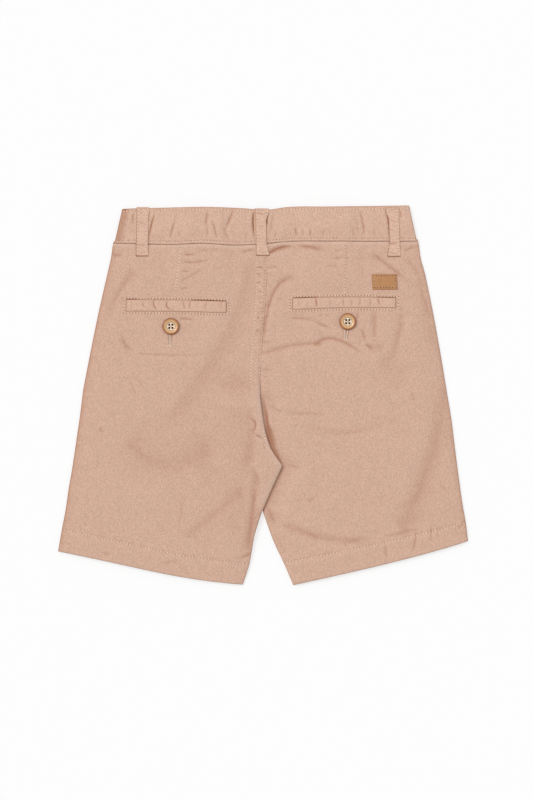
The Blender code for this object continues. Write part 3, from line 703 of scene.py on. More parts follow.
def front_surface(side):
    """Places and heights of a front."""
    plan = plan_of_panel(side, "front_x", lap=0.0, **FRONT_GRID)
    x, y = plan.x, plan.y
    inside = smooth(np.minimum(plan.from_side, plan.from_inner) / 12.0)
    creases = crease_heights(FRONT_CREASES[side], x, y, crisp=True)
    z = TWILL + loop_lift(x, y) + creases.height * inside
    if side == "left":
        z = z + flap_lift(x, y)
    return x, y, z + 1.2 * smooth((1.2 - plan.from_seam) / 1.6)


fronts = {side: front_surface(side) for side in LEGS}
print("front panel grid:", fronts["left"][0].shape)

# %% [markdown]
# ## The waistband
#
# Elastic inside the back of the band gathers it into puckers, some as long as the band is high and some
# short, near the seam. A real band is one strip folded over the elastic. It could be a closed tube, but the
# inside never shows, so the back half and the two front halves are shells that roll together along the top
# edge.

# %% Puckers that the elastic pulls in
BAND_WAVES = [
    Fold(-124, 148, -124, 160, -121, 172, -0.75, 5),
    Fold(-98, 148, -96, 158, -95, 172, 0.9, 6),
    Fold(-68, 150, -70, 160, -68, 174, 0.9, 7),
    Fold(-40, 150, -43, 162, -42, 174, 0.75, 6),
    Fold(-22, 150, -21, 162, -19, 174, 0.75, 6),
    Fold(22, 150, 22, 160, 21, 172, 0.75, 6),
    Fold(60, 152, 62, 162, 60, 170, 0.75, 7),
    Fold(78, 152, 78, 164, 74, 174, 0.9, 8),
    Fold(103, 152, 101, 162, 98, 172, 0.6, 5),
    Fold(134, 152, 133, 162, 131, 172, 0.6, 6),
]
BAND_PUCKERS = [
    Fold(-136, 175, -132.5, 176, -128.5, 175, -0.5, 1.8),
    Fold(-131, 152, -131, 149.5, -131, 147, -0.4, 1.2),
    Fold(-121.5, 174, -123.3, 169, -123.3, 161, -0.9, 1.3),
    Fold(-107, 176.5, -108.2, 170, -108.4, 163, -0.6, 1.4),
    Fold(-101.5, 175, -106, 161, -108.6, 144.5, -1.2, 1.4, 0.1),
    Fold(-103, 153, -104, 150.5, -104, 147.5, -0.35, 1.4),
    Fold(-86.5, 176.5, -83.5, 168, -84, 157, -0.4, 2.6, 0.2),
    Fold(-83.2, 168, -86.2, 157, -89.2, 146, -0.8, 1.6, 0.2),
    Fold(-80, 161, -79.5, 155, -79.5, 148, -0.25, 1.6),
    Fold(-52.5, 177, -53.4, 168, -55.2, 157, -0.8, 1.8),
    Fold(-52.5, 164, -52.8, 156, -53, 147, -0.4, 1.4),
    Fold(-48.6, 168, -45.8, 157.5, -43.2, 146.5, -0.8, 1.5, 0.2),
    Fold(-38, 173.5, -37.8, 168, -38, 162, -0.22, 1.4),
    Fold(-27.8, 178, -31.6, 167, -38.4, 153, -0.8, 1.7),
    Fold(-38, 161, -35, 153, -31.6, 145.5, -0.5, 1.8),
    Fold(-15, 156.5, -16, 151.5, -17.2, 145.5, -0.4, 1.4),
    Fold(-8.2, 177, -9.4, 165, -8.2, 146, -1.9, 1.3),
    Fold(4.6, 174.5, 3.7, 168, 3.5, 157, -1.7, 1.3),
    Fold(10.2, 176, 8.4, 165, 6, 149.5, -0.5, 1.9),
    Fold(12.3, 157, 11.8, 152.5, 11.3, 147.5, -0.5, 1.4),
    Fold(31, 160, 31, 155.5, 32.2, 149.5, -0.8, 1.4),
    Fold(37.5, 158.5, 38, 154.5, 38.6, 149.5, -0.35, 1.5),
    Fold(45, 158, 44.6, 154, 44.5, 149.5, -0.8, 1.4),
    Fold(39, 160, 41, 161.5, 44, 164, -0.25, 1.5),
    Fold(57.2, 158, 57, 154, 56.4, 149.5, -0.45, 1.4),
    Fold(63.2, 158, 63, 154, 62.6, 149.5, -0.25, 1.4),
    Fold(66, 169.5, 70, 166.5, 75, 163, -0.25, 2.4),
    Fold(85, 161, 85.6, 155, 86, 149, -0.4, 1.6),
    Fold(88, 168, 89.6, 160, 90.2, 149, -0.3, 1.6),
    Fold(91.3, 177, 94.6, 163, 96, 147.5, -0.7, 1.7, 0.1),
    Fold(105.2, 161, 105.8, 155.5, 106.2, 149, -0.4, 1.9),
    Fold(115.4, 177.5, 119.2, 163.5, 119.8, 146, -1.3, 1.25),
    Fold(129.8, 177, 130.4, 172, 130.8, 166, -0.7, 1.2),
]
print("band puckers:", len(BAND_PUCKERS))

# %% Surfaces of the back band and the two front halves
BACK_BAND_GRID = {"rows": 44, "columns": 330}
FRONT_BAND_GRID = {"rows": 12, "columns": 60}
STITCH_INSET = 2.8
# Shares of pucker depth painted as shade, and the strength of the puckers' painted dark lines.
BAND_SHADE, BAND_LINE = 0.18, 0.42
BAND_MIDDLE = 3.0


def band_place(seam_x, up, space=0.0):
    """Where the band is over places along its seam, up of the way to its top edge."""
    seam_y = np.interp(seam_x, SEAM_X, SEAM_Y) + space
    top_x = np.interp(seam_x, SEAM_X, band_lines("top_x"))
    top_y = np.interp(seam_x, SEAM_X, band_lines("top_y"))
    return seam_x + (top_x - seam_x) * up, seam_y + (top_y - seam_y) * up


def band_plan(first_x, last_x, rows, columns):
    """Rows run down from the top edge, columns to the right. Also gives how far up the band a point is."""
    seam_x = np.linspace(first_x, last_x, columns + 1)[None, :]
    up = 1.0 - crowded_at_edges(rows)[:, None]
    return *band_place(seam_x, up, SEAM_SPACE), up + 0 * seam_x


def back_band_surface():
    """The gathered back of the band, with its painted shade and highlight."""
    x, y, up = band_plan(SEAM_X[0], SEAM_X[-1], **BACK_BAND_GRID)
    from_end = np.minimum(x - x[:, :1], x[:, -1:] - x)
    from_top, from_seam = (1 - up) * BAND_HEIGHT, up * BAND_HEIGHT
    rise = 1.2 * np.sin(math.pi * (0.12 + 0.76 * up)) * (1 - np.exp(-(from_end + 2.0) / 5.0))
    puckers = crease_heights(BAND_PUCKERS, x, y, crisp=True)
    rise += crease_heights(BAND_WAVES, x, y, crisp=False).height + 0.6 * puckers.height
    rise += 0.15 * unevenness(x, y, size=8.0, seed=3)
    rise -= 0.25 * (groove(from_top - STITCH_INSET, 0.8) + groove(from_seam - STITCH_INSET, 0.8))
    low_puckers = 0.12 * ripple(x, 2.6, 50) * groove(from_seam, 4.0)
    rise += low_puckers + 0.10 * ripple(x, 3.1, 51) * groove(from_top, 4.0)
    z = SOLID_BAND_TOP + soft_floor(rise, softness=0.25) + loop_lift(x, y)
    z -= 1.4 * np.exp(-from_top / 0.7) + 0.35 * np.exp(-from_seam / 0.6) + 1.0 * np.exp(-from_end / 1.1)
    # Painted shade in the puckers, and a painted highlight just above the waist seam.
    press_and_painted_light = BAND_SHADE * puckers.dark - 0.55 * groove(from_seam - 1.3, 0.7)
    # Painted shade along the top edge, and darker towards the band's left end.
    press_and_painted_light += 0.7 * np.exp(-from_top / 1.6)
    press_and_painted_light += 0.75 * smooth((9.5 - (x - x[:, :1])) / 7.0)
    return x, y, z, press_and_painted_light, puckers.off, BAND_LINE * puckers.line


def front_band_surface(first_x, last_x):
    """One plain half of the front of the band."""
    x, y, _ = band_plan(first_x, last_x, **FRONT_BAND_GRID)
    return x, y, BAND_CLOTH + loop_lift(x, y)


back_band = back_band_surface()
front_bands = {
    "left": front_band_surface(SEAM_X[0], BAND_MIDDLE - SEAM_SPACE),
    "right": front_band_surface(BAND_MIDDLE + SEAM_SPACE, SEAM_X[-1]),
}
print("band height up to", round(float(back_band[2].max()), 2), "mm")

# %% [markdown]
# ## From a surface to a piece of cloth
#
# A grid of heights becomes a mesh, and a Solidify modifier gives it the cloth's thickness downwards. Each
# point also stores how deep it lies compared with its surroundings, plus the painted shade of its surface,
# because the finish paints shade into creases and a highlight on the tops of folds. A sharp crease is
# narrower than a cell of the grid, so its painted dark line is stored as a distance to its line: a distance
# blends evenly between two points, and the finish can draw a line thinner than the mesh from it.

# %% Make cloth meshes
def blurred(z, times):
    """The heights, averaged with their neighbours again and again."""
    for _ in range(times):
        padded = np.pad(z, 1, mode="edge")
        z = (padded[:-2, 1:-1] + padded[2:, 1:-1] + padded[1:-1, :-2] + padded[1:-1, 2:]) / 4
    return z


def grid_faces(rows, columns):
    """The four corners of every cell of a grid of points."""
    first = (np.arange(rows - 1)[:, None] * columns + np.arange(columns - 1)).ravel()
    return np.stack([first, first + columns, first + columns + 1, first + 1], axis=1)


def upward(surface):
    """The same surface with its columns running to the right, so that its faces point up."""
    return surface if surface[0][0, 0] < surface[0][0, -1] else tuple(part[:, ::-1] for part in surface)


def mesh_piece(name, points, faces):
    """A smooth mesh object from points in millimetres."""
    mesh = bpy.data.meshes.new(name)
    mesh.from_pydata((np.asarray(points) * MM).tolist(), [], np.asarray(faces).tolist())
    mesh.shade_smooth()
    piece = bpy.data.objects.new(name, mesh)
    bpy.context.scene.collection.objects.link(piece)
    return piece


def cloth(name, surface, wall, spread=10):
    """A thin shell of cloth under a surface, with the depth of its creases and its painted shade stored at
    each point.
    """
    x, y, z, *marks = upward(surface)
    piece = mesh_piece(name, np.stack([x, y, z], axis=-1).reshape(-1, 3), grid_faces(*x.shape))
    # How deep each point lies below its neighbours, plus the surface's painted shade, for the finish to paint
    # as shade.
    marks = [blurred(z, spread) - z + (marks[0] if marks else 0), *marks[1:]]
    for label, values in zip(("depth_and_painted_shade", "line_off", "line_depth"), marks):
        piece.data.attributes.new(label, "FLOAT", "POINT").data.foreach_set("value", values.ravel())
    shell = piece.modifiers.new("cloth thickness", "SOLIDIFY")
    shell.thickness = wall * MM
    shell.offset = -1.0
    return piece


pieces = {}
for side in LEGS:
    for part, surface, wall in (
        ("back_cloth", backs[side], TWILL),
        ("front_cloth", fronts[side], TWILL),
        ("front_band", front_bands[side], BAND_CLOTH),
    ):
        pieces[f"{part}_{side}"] = cloth(f"{part}_{side}", surface, wall)
pieces["back_band"] = cloth("back_band", back_band, BAND_CLOTH)
print("cloth pieces:", sorted(pieces))

# %% [markdown]
# ## Reading the height of the cloth
#
# Loops, welts, buttons and every stitch sit on cloth that is never flat. Shrinkwrap could press them onto
# it, but it also flattens their own shape. A ray dropped straight down onto the surface gives the height
# and the slope at one place of the plan, and each small piece is then built at its own height above it.

# %% Drop a ray onto the cloth
Touch = namedtuple("Touch", "z normal")


def tree_of(surface):
    """A search tree of a surface, for rays."""
    x, y, z = upward(surface)[:3]
    points = np.stack([x, y, z], axis=-1).reshape(-1, 3)
    return BVHTree.FromPolygons(points.tolist(), grid_faces(*x.shape).tolist())


def touch(trees, x, y, below=0.0):
    """The highest of the surfaces at a place of the plan. below turns it to the underside of thin cloth."""
    best = None
    for tree in trees:
        spot, normal, _, _ = tree.ray_cast(Vector((x, y, 50.0)), Vector((0, 0, -1)))
        if spot and (best is None or spot.z > best.z):
            best = Touch(spot.z, normal)
    if best is None:
        return None
    return Touch(best.z - below, -best.normal) if below else best


back_trees = [tree_of(back_band), tree_of(backs["left"]), tree_of(backs["right"])]
print("height of the back at the middle of the left leg:", round(touch(back_trees, -90, 0).z, 2), "mm")

# %% [markdown]
# ## Belt loops
#
# A belt loop is a narrow strip folded in three and stitched along both edges, then tacked across its top
# and bottom with a dense bar of stitches. Under the tacks it is pressed flat; between them it stands off a
# little. The strip is a grid laid over the highest cloth nearby, so that it bridges puckers as a stiff
# strip does, with both long edges turned down.

# %% Strips that lie on the cloth
Patch = namedtuple("Patch", "top_left top_right bottom_left bottom_right")


def patch_plan(patch, columns, rows):
    """Places of a grid between four corners, and how far across and down it each one is."""
    across = crowded_at_edges(columns)[None, :]
    down = crowded_at_edges(rows)[:, None]
    corners = [np.array(corner) for corner in patch]
    top = corners[0][:, None, None] * (1 - across) + corners[1][:, None, None] * across
    bottom = corners[2][:, None, None] * (1 - across) + corners[3][:, None, None] * across
    x, y = top * (1 - down) + bottom * down
    return x, y, across + 0 * x, down + 0 * x


def carried(x, y, reach):
    """Height of the cloth under each point, or of the highest cloth within reach of it up and down."""
    window = [0.0] if reach == 0 else [-reach, -reach / 2, 0.0, reach / 2, reach]

    def highest(px, py):
        touches = [touch(back_trees, px, py + step) for step in window]
        return max((found.z for found in touches if found), default=SOLID_EDGE_TOP)

    return np.vectorize(highest)(x, y)


def turned_down(share, width, size):
    """How far an edge has turned down at a place across a strip of that width."""
    from_edge = np.minimum(share, 1 - share) * width
    return size * np.exp(-from_edge / (0.7 * size))


LOOP_CLOTH = 0.7
LOOP_LENGTH, LOOP_WIDTH = 47.0, 12.0
LOOP_ROWS = (0.16, 0.84)
TACKS_DOWN = (0.045, 0.93)
BeltLoop = namedtuple("BeltLoop", "corners twist waist creases")
BELT_LOOPS = {
    "back_loop_left": BeltLoop(
        Patch((-119.7, 178.6), (-107.9, 178.5), (-120.6, 132.0), (-108.8, 132.0)), 0.0, (0.3, 0.4),
        [
            Fold(-118.5, 162, -115, 163.5, -109.5, 160.5, -0.4, 1.3),
            Fold(-119.5, 143.5, -116, 142.5, -110, 143.5, -0.35, 1.3),
            Fold(-118.5, 173, -115.5, 173, -112, 173, -0.3, 1.2),
        ],
    ),
    "back_loop_centre": BeltLoop(
        Patch((-7.6, 177.4), (5.2, 177.3), (-6.6, 132.4), (5.9, 132.4)), 0.5, (0.2, 2.3),
        [
            Fold(-4.5, 159.5, -1, 160.2, 2, 161, -0.35, 1.2),
            Fold(-7, 173.5, -2, 172, 4.5, 172.5, -0.6, 1.4),
            Fold(-6, 148.5, -2, 148, 3, 148.8, -0.25, 1.3),
        ],
    ),
    "back_loop_right": BeltLoop(
        Patch((116.0, 178.2), (128.6, 178.4), (118.0, 131.4), (130.4, 131.6)), -0.3, (2.5, 0.2),
        [
            Fold(120, 166, 123, 165, 126, 164, -0.4, 1.3),
            Fold(120, 157.5, 122, 156.5, 124, 156, -0.35, 1.2),
            Fold(120, 143, 124, 144, 129, 143, -0.3, 1.4),
        ],
    ),
}


def belt_loop_surface(name):
    """A loop on the cloth, pressed flat at its tacks and along its rows of stitches."""
    loop = BELT_LOOPS[name]
    x, y, across, down = patch_plan(loop.corners, columns=20, rows=90)
    waist = smooth((down - 0.10) / 0.14) * smooth((0.97 - down) / 0.24)
    x = x + waist * (loop.waist[0] * (1 - across) - loop.waist[1] * across)
    base = carried(x, y, 2.0)
    base = 0.5 * base + 0.5 * base.mean(axis=1, keepdims=True)
    seed = sum(map(ord, name))
    wrinkle = ripple(LOOP_LENGTH * down + 3 * across, 5.0, seed)
    arch = 0.25 * np.sin(math.pi * down) + 0.18 * wrinkle
    twist = loop.twist * (across - 0.5) * np.sin(math.pi * down)
    press_and_painted_light = sum(0.2 * groove((down - place) * LOOP_LENGTH, 1.2) for place in TACKS_DOWN)
    rows = 0.13 * sum(groove((across - row) * LOOP_WIDTH, 0.6) for row in LOOP_ROWS)
    creases = crease_heights(loop.creases, x, y, crisp=True)
    z = base + LAYER_GAP + LOOP_CLOTH + arch + twist - press_and_painted_light - rows + 0.5 * creases.height
    z -= turned_down(across, LOOP_WIDTH, 0.45) + turned_down(down, LOOP_LENGTH, 0.4)
    # Painted shade along the loop's left edge and both ends, and in its creases.
    edges = ((across * LOOP_WIDTH, 1.3), (down * LOOP_LENGTH, 0.6), ((1 - down) * LOOP_LENGTH, 2.8))
    shade = sum(share * np.exp(-distance / EDGE_FADE) for distance, share in edges)
    return x, y, z, shade + 0.2 * creases.dark, creases.off, creases.line


loops = {name: belt_loop_surface(name) for name in BELT_LOOPS}
for name, surface in loops.items():
    pieces[name] = cloth(name, surface, LOOP_CLOTH, spread=2)
    print(name, "stands", round(float(surface[2].max()), 2), "mm high")

# %% The two front loops, flat on the table
FRONT_LOOP_WIDTH = 11.7
FRONT_LOOP_ENDS = (178.0, 132.0)
for side, middle in (("left", -FRONT_LOOP_X), ("right", FRONT_LOOP_X)):
    edges = (middle - FRONT_LOOP_WIDTH / 2, middle + FRONT_LOOP_WIDTH / 2)
    corners = Patch(*((x, y) for y in FRONT_LOOP_ENDS for x in edges))
    x, y, across, down = patch_plan(corners, columns=10, rows=40)
    z = LOOP_CLOTH + 0.05 + 0 * x - turned_down(across, FRONT_LOOP_WIDTH, 0.3)
    z += 0.3 * groove(across - 0.5, 0.3) * np.sin(math.pi * down)
    name = f"front_loop_{side}"
    loops[name] = (x, y, z)
    pieces[name] = cloth(name, loops[name], LOOP_CLOTH, spread=2)
print("loops:", len(loops))

# %% [markdown]
# ## Welt pockets
#
# A welt pocket is a slit in the back with a folded strip, the welt, standing in it and filling it from
# below. The slit's top edge gapes a little at the ends, where the shaded inside of the pocket shows. The
# welt could be drawn on the panel with a bump, but it casts a real line of shadow all round, so it is a
# strip of its own with short creases across it and painted shade along its edges, and the opening is a
# thin sliver of painted shade behind it.

# %% The welts and the mouths of the pockets
WELT_CLOTH = 0.8
MOUTH_CLOTH = 0.2
WELT_LENGTH, WELT_WIDTH = 96.0, 11.0
EDGE_SHADE = 1.5
Mouth = namedtuple("Mouth", "x0 x1 width")
Welt = namedtuple("Welt", "corners bow mouths creases")
WELTS = {
    "pocket_welt_cloth_left": Welt(
        Patch((-129.8, 91.1), (-34.5, 89.3), (-130.0, 79.7), (-34.7, 78.2)), 0.5,
        [Mouth(-130, -119, 0.7), Mouth(-68, -34.8, 0.85)],
        [
            Fold(-123.5, 91, -124.5, 87, -124.5, 82.5, -0.25, 1.2),
            Fold(-115.5, 89.5, -113.5, 86, -112, 82, -0.3, 1.2),
            Fold(-102.5, 91.5, -103.5, 85.5, -99.5, 80.5, -0.65, 1.3),
            Fold(-89, 91.5, -91, 84.5, -84.5, 80, -0.65, 1.3),
            Fold(-77.5, 91, -75, 86, -74.5, 80.5, -0.4, 1.2),
            Fold(-69, 91, -69.5, 86, -69.5, 80.5, -0.4, 1.2),
            Fold(-53, 90, -54, 85.5, -55.5, 80, -0.35, 1.2),
            Fold(-39.5, 89.5, -39.5, 85, -40, 80, -0.3, 1.2),
        ],
    ),
    "pocket_welt_cloth_right": Welt(
        Patch((27.9, 92.3), (126.0, 92.7), (27.7, 81.1), (125.8, 82.9)), 1.0,
        [Mouth(29, 51.5, 0.65), Mouth(108, 126.2, 0.55)],
        [
            Fold(33.5, 92, 33.5, 88, 34, 84, -0.25, 1.1),
            Fold(42.5, 90.5, 42, 87, 41.5, 83, -0.25, 1.1),
            Fold(50, 93.5, 50.5, 88, 51, 83, -0.7, 1.2),
            Fold(63.5, 92.5, 63.5, 88, 63, 84, -0.3, 1.2),
            Fold(75, 93, 76, 88, 76.5, 83.5, -0.4, 1.2),
            Fold(84.5, 92, 84, 88, 83.5, 84, -0.3, 1.1),
            Fold(92, 92.5, 91.5, 88, 90.5, 84, -0.35, 1.2),
            Fold(102, 92.5, 101.5, 88, 101.5, 84, -0.3, 1.1),
            Fold(109, 93.5, 109.5, 89, 111.5, 84.5, -0.6, 1.2),
        ],
    ),
}


def welt_surface(name):
    """A welt that fills its slit, with its edges turned down and painted shade along them."""
    welt = WELTS[name]
    x, y, across, down = patch_plan(welt.corners, columns=110, rows=14)
    y = y + welt.bow * np.sin(math.pi * across)
    z = carried(x, y, 0.0) + 0.75 + 0.25 * np.sin(math.pi * down)
    creases = crease_heights(welt.creases, x, y, crisp=True)
    z += creases.height
    z -= turned_down(across, WELT_LENGTH, 0.5) + turned_down(down, WELT_WIDTH, 0.5)
    from_edge = np.minimum(np.minimum(across, 1 - across) * WELT_LENGTH, down * WELT_WIDTH)
    # Painted shade along every edge, more along the lower one, and in the creases.
    shade = EDGE_SHADE * np.exp(-from_edge / EDGE_FADE)
    shade += 0.6 * np.exp(-(1 - down) * WELT_WIDTH / EDGE_FADE)
    return x, y, z, shade + 0.2 * creases.dark, creases.off, 1.1 * creases.line


welts = {name: welt_surface(name) for name in WELTS}
for name, surface in welts.items():
    pieces[name] = cloth(name, surface, WELT_CLOTH, spread=2)
print("welt creases:", {name: len(welt.creases) for name, welt in WELTS.items()})


def mouth_strip(welt, mouth):
    """A sliver of painted shade for the inside of the pocket, widest in the middle of the gape."""
    corners = welt.corners
    along = np.linspace(0.0, 1.0, 28)[None, :]
    over = np.linspace(-0.4, 0.5, 4)[:, None]
    x = mouth.x0 + (mouth.x1 - mouth.x0) * along + 0 * over
    share = (x - corners.top_left[0]) / (corners.top_right[0] - corners.top_left[0])
    y = corners.top_left[1] + (corners.top_right[1] - corners.top_left[1]) * share
    y = y + welt.bow * np.sin(math.pi * np.clip(share, 0, 1)) + 0.1
    y = y + mouth.width * over * np.sin(math.pi * (0.08 + 0.84 * along)) ** 0.5
    return x, y, carried(x, y, 0.0) + 0.22


for name, welt in WELTS.items():
    side = name.rsplit("_", 1)[1]
    for number, mouth in enumerate(welt.mouths):
        sliver = f"pocket_mouth_{side}_{number}"
        pieces[sliver] = cloth(sliver, mouth_strip(welt, mouth), MOUTH_CLOTH, spread=1)
print("pocket mouths:", [name for name in pieces if "mouth" in name])

# %% [markdown]
# ## Buttons
#
# The buttons are turned from two layers: a pale dished centre with four holes inside a caramel rim. Turning
# is what the Screw modifier does, so the section is drawn once and spun, and the holes are cut through with
# Booleans. A small dark disc deep in each hole stands for the shade in it, and a cross of thread holds the
# button down.

# %% Turn a button and cut its holes
BUTTON_RADIUS = 7.95
DISH_HEIGHT = 1.28
BUTTON_SECTION = [
    (0.0, 1.25), (2.0, 1.2), (3.5, DISH_HEIGHT), (3.75, 1.38), (3.95, 1.15), (4.15, 1.38), (4.9, 1.7),
    (5.8, 2.1), (6.6, 2.3), (7.2, 2.15), (7.7, 1.7), (BUTTON_RADIUS, 1.1), (7.8, 0.5), (7.2, 0.1),
    (0.0, 0.05),
]
HOLE_RADIUS = 1.1
HOLE_OFFSET = 1.5
HOLE_DEPTH = 1.0
HOLE_CORNERS = 20
SEAT_RADIUS = 7
BUTTON_SPACE = 0.15
BUTTONS = {"pocket_button_turned_left": (-87.2, 65.4), "pocket_button_turned_right": (80.2, 69.9)}


def evaluated_copy(piece, name):
    """A plain mesh object of what the modifiers make. The original is removed."""
    bpy.context.view_layer.update()
    graph = bpy.context.evaluated_depsgraph_get()
    mesh = bpy.data.meshes.new_from_object(piece.evaluated_get(graph))
    made = bpy.data.objects.new(name, mesh)
    made.matrix_world = piece.matrix_world.copy()
    bpy.context.scene.collection.objects.link(made)
    bpy.data.objects.remove(piece, do_unlink=True)
    return made


def turned(name, section, steps):
    """A section of radii and heights, spun round Z."""
    edges = [(k, k + 1) for k in range(len(section) - 1)]
    mesh = bpy.data.meshes.new(name)
    mesh.from_pydata([(radius * MM, 0, height * MM) for radius, height in section], edges, [])
    piece = bpy.data.objects.new(name, mesh)
    bpy.context.scene.collection.objects.link(piece)
    spin = piece.modifiers.new("turn", "SCREW")
    spin.steps = spin.render_steps = steps
    spin.use_merge_vertices = True
    spin.merge_threshold = 0.00001
    return piece


def make_button(name, x, y):
    """A button on the highest cloth under it, and the height of its underside."""
    angles = np.linspace(0, 2 * math.pi, 13)
    seats = [(0.0, 0.0)] + [(SEAT_RADIUS * math.cos(a), SEAT_RADIUS * math.sin(a)) for a in angles]
    base = max(touch(back_trees, x + dx, y + dy).z for dx, dy in seats) + BUTTON_SPACE
    blank = turned(name + "_blank", BUTTON_SECTION, 64)
    cutters = []
    for number in range(4):
        angle = math.pi / 4 + number * math.pi / 2
        reach = HOLE_OFFSET * math.sqrt(2) * MM
        place = (reach * math.cos(angle), reach * math.sin(angle), 0)
        bpy.ops.mesh.primitive_cylinder_add(
            vertices=HOLE_CORNERS, radius=HOLE_RADIUS * MM, depth=8 * MM, location=place
        )
        cutters.append(bpy.context.object)
        cut = blank.modifiers.new(f"hole {number}", "BOOLEAN")
        cut.operation = "DIFFERENCE"
        cut.object = cutters[-1]
    button = evaluated_copy(blank, name)
    for cutter in cutters:
        bpy.data.objects.remove(cutter, do_unlink=True)
    button.location = (x * MM, y * MM, base * MM)
    button.data.shade_smooth()
    button.data.set_sharp_from_angle(angle=math.radians(40))
    return button, base


button_bases = {}
for name, (x, y) in BUTTONS.items():
    pieces[name], button_bases[name] = make_button(name, x, y)
    print(name, "sits at", round(button_bases[name], 2), "mm")

# %% [markdown]
# ## The leather patch
#
# A small bare rectangle of tan leather, stitched on all round. Leather is cut with a blade, so its edge is
# crisp on top and only slightly rounded, and the stitching pulls a shallow channel just inside it.

# %% The patch
PATCH_LEATHER = 0.9
PATCH_CORNERS = Patch((103.0, 115.0), (126.7, 114.9), (103.8, 100.4), (127.4, 100.4))
PATCH_WIDTH, PATCH_HEIGHT = 23.7, 14.5
PATCH_ROW = 1.7

x, y, across, down = patch_plan(PATCH_CORNERS, columns=40, rows=26)
from_ends = np.minimum(across, 1 - across) * PATCH_WIDTH
from_edge = np.minimum(from_ends, np.minimum(down, 1 - down) * PATCH_HEIGHT)
z = blurred(carried(x, y, 0.0), times=40) + LAYER_GAP + PATCH_LEATHER + 0.25 * smooth(from_edge / 5.0)
z -= 0.4 * np.exp(-from_edge / 0.4) + 0.22 * groove(from_edge - PATCH_ROW, 0.5)
leather_patch = (x, y, z + 0.05 * unevenness(x, y, size=3.0, seed=5))
pieces["leather_patch"] = cloth("leather_patch", leather_patch, PATCH_LEATHER, spread=3)
print("leather patch", PATCH_WIDTH, "by", PATCH_HEIGHT, "mm")

# %% [markdown]
# ## Stitches
#
# Topstitching is what makes a chino look sewn and not moulded. Each stitch is a short round bead of thread
# whose ends dive into a needle hole. A texture of dashes would be cheaper, but it would not catch the light
# from the side. One bead is drawn once as a small ring-by-ring mesh, then copied along a path on the cloth
# with numpy and joined, one mesh for each seam, which is quicker than an object for each stitch.

# %% One stitch, and rows of it
RINGS, SIDES = 6, 6


def bead(length, radius, arch):
    """Points and faces of one stitch along +X, lying on the plane, with its ends sunk below it."""
    points, faces = [], []
    for ring in range(RINGS):
        t = -1 + 2 * ring / (RINGS - 1)
        girth = radius * (1 - 0.75 * t**4)
        middle = arch * (1 - t * t) - 0.25 * radius - 0.8 * radius * t**6
        for side in range(SIDES):
            angle = 2 * math.pi * side / SIDES
            points.append((t * length / 2, girth * math.cos(angle), middle + 0.8 * girth * math.sin(angle)))
    for ring in range(RINGS - 1):
        for side in range(SIDES):
            first, second = ring * SIDES + side, ring * SIDES + (side + 1) % SIDES
            faces.append((first, second, second + SIDES, first + SIDES))
    faces.append(tuple(range(SIDES))[::-1])
    faces.append(tuple((RINGS - 1) * SIDES + side for side in range(SIDES)))
    return np.array(points), faces


Thread = namedtuple("Thread", "length gap radius arch pit")
TOPSTITCH = Thread(2.2, 0.8, 0.4, 0.24, 0.36)
PALE_STITCH = Thread(2, 1, 0.4, 0.26, 0.24)
FRAME_STITCH = Thread(1.9, 1, 0.38, 0.26, 0.45)
LOOP_STITCH = Thread(1.9, 1.2, 0.46, 0.32, 0.3)
DART_STITCH = Thread(1.8, 1.2, 0.36, 0.22, 0.3)
PATCH_STITCH = Thread(1.5, 1.2, 0.42, 0.28, 0.6)
TACK_STITCH = Thread(1.6, -0.9, 0.24, 0.14, 0.3)
SATIN_STITCH = Thread(1.1, -0.6, 0.27, 0.22, 0)
BAR_STITCH = Thread(1.2, -0.7, 0.26, 0.2, 0)
OUTLINE_STITCH = Thread(0.7, 0.5, 0.22, 0.12, 0.36)
sewn = {"rose": [], "pale": [], "tan": [], "painted needle hole shade": [], "button depths": []}


def spaced(path, step):
    """Places along a polyline at an even step, with the direction at each."""
    path = np.asarray(path, dtype=float)
    runs = np.hypot(*np.diff(path, axis=0).T)
    so_far = np.concatenate([[0.0], np.cumsum(runs)])
    count = max(1, int(round(so_far[-1] / step)))
    at = (np.arange(count) + 0.5) * so_far[-1] / count
    x, y = np.interp(at, so_far, path[:, 0]), np.interp(at, so_far, path[:, 1])
    k = np.clip(np.searchsorted(so_far, at) - 1, 0, len(runs) - 1)
    direction = np.diff(path, axis=0)[k] / runs[k][:, None]
    return np.stack([x, y], axis=1), direction


def pit_points(places, radius, corners=8):
    """Small discs of painted shade where the needle went in, each a shallow cone."""
    angles = np.arange(corners) * 2 * math.pi / corners
    rim = np.stack([radius * np.cos(angles), radius * np.sin(angles), np.zeros(corners)], axis=1)
    cone = np.concatenate([rim, [[0, 0, -0.02]]])
    points = np.concatenate([place + cone for place in places])
    each = [(k, (k + 1) % corners, corners) for k in range(corners)]
    faces = [tuple(n * len(cone) + k for k in face) for n in range(len(places)) for face in each]
    return points, faces


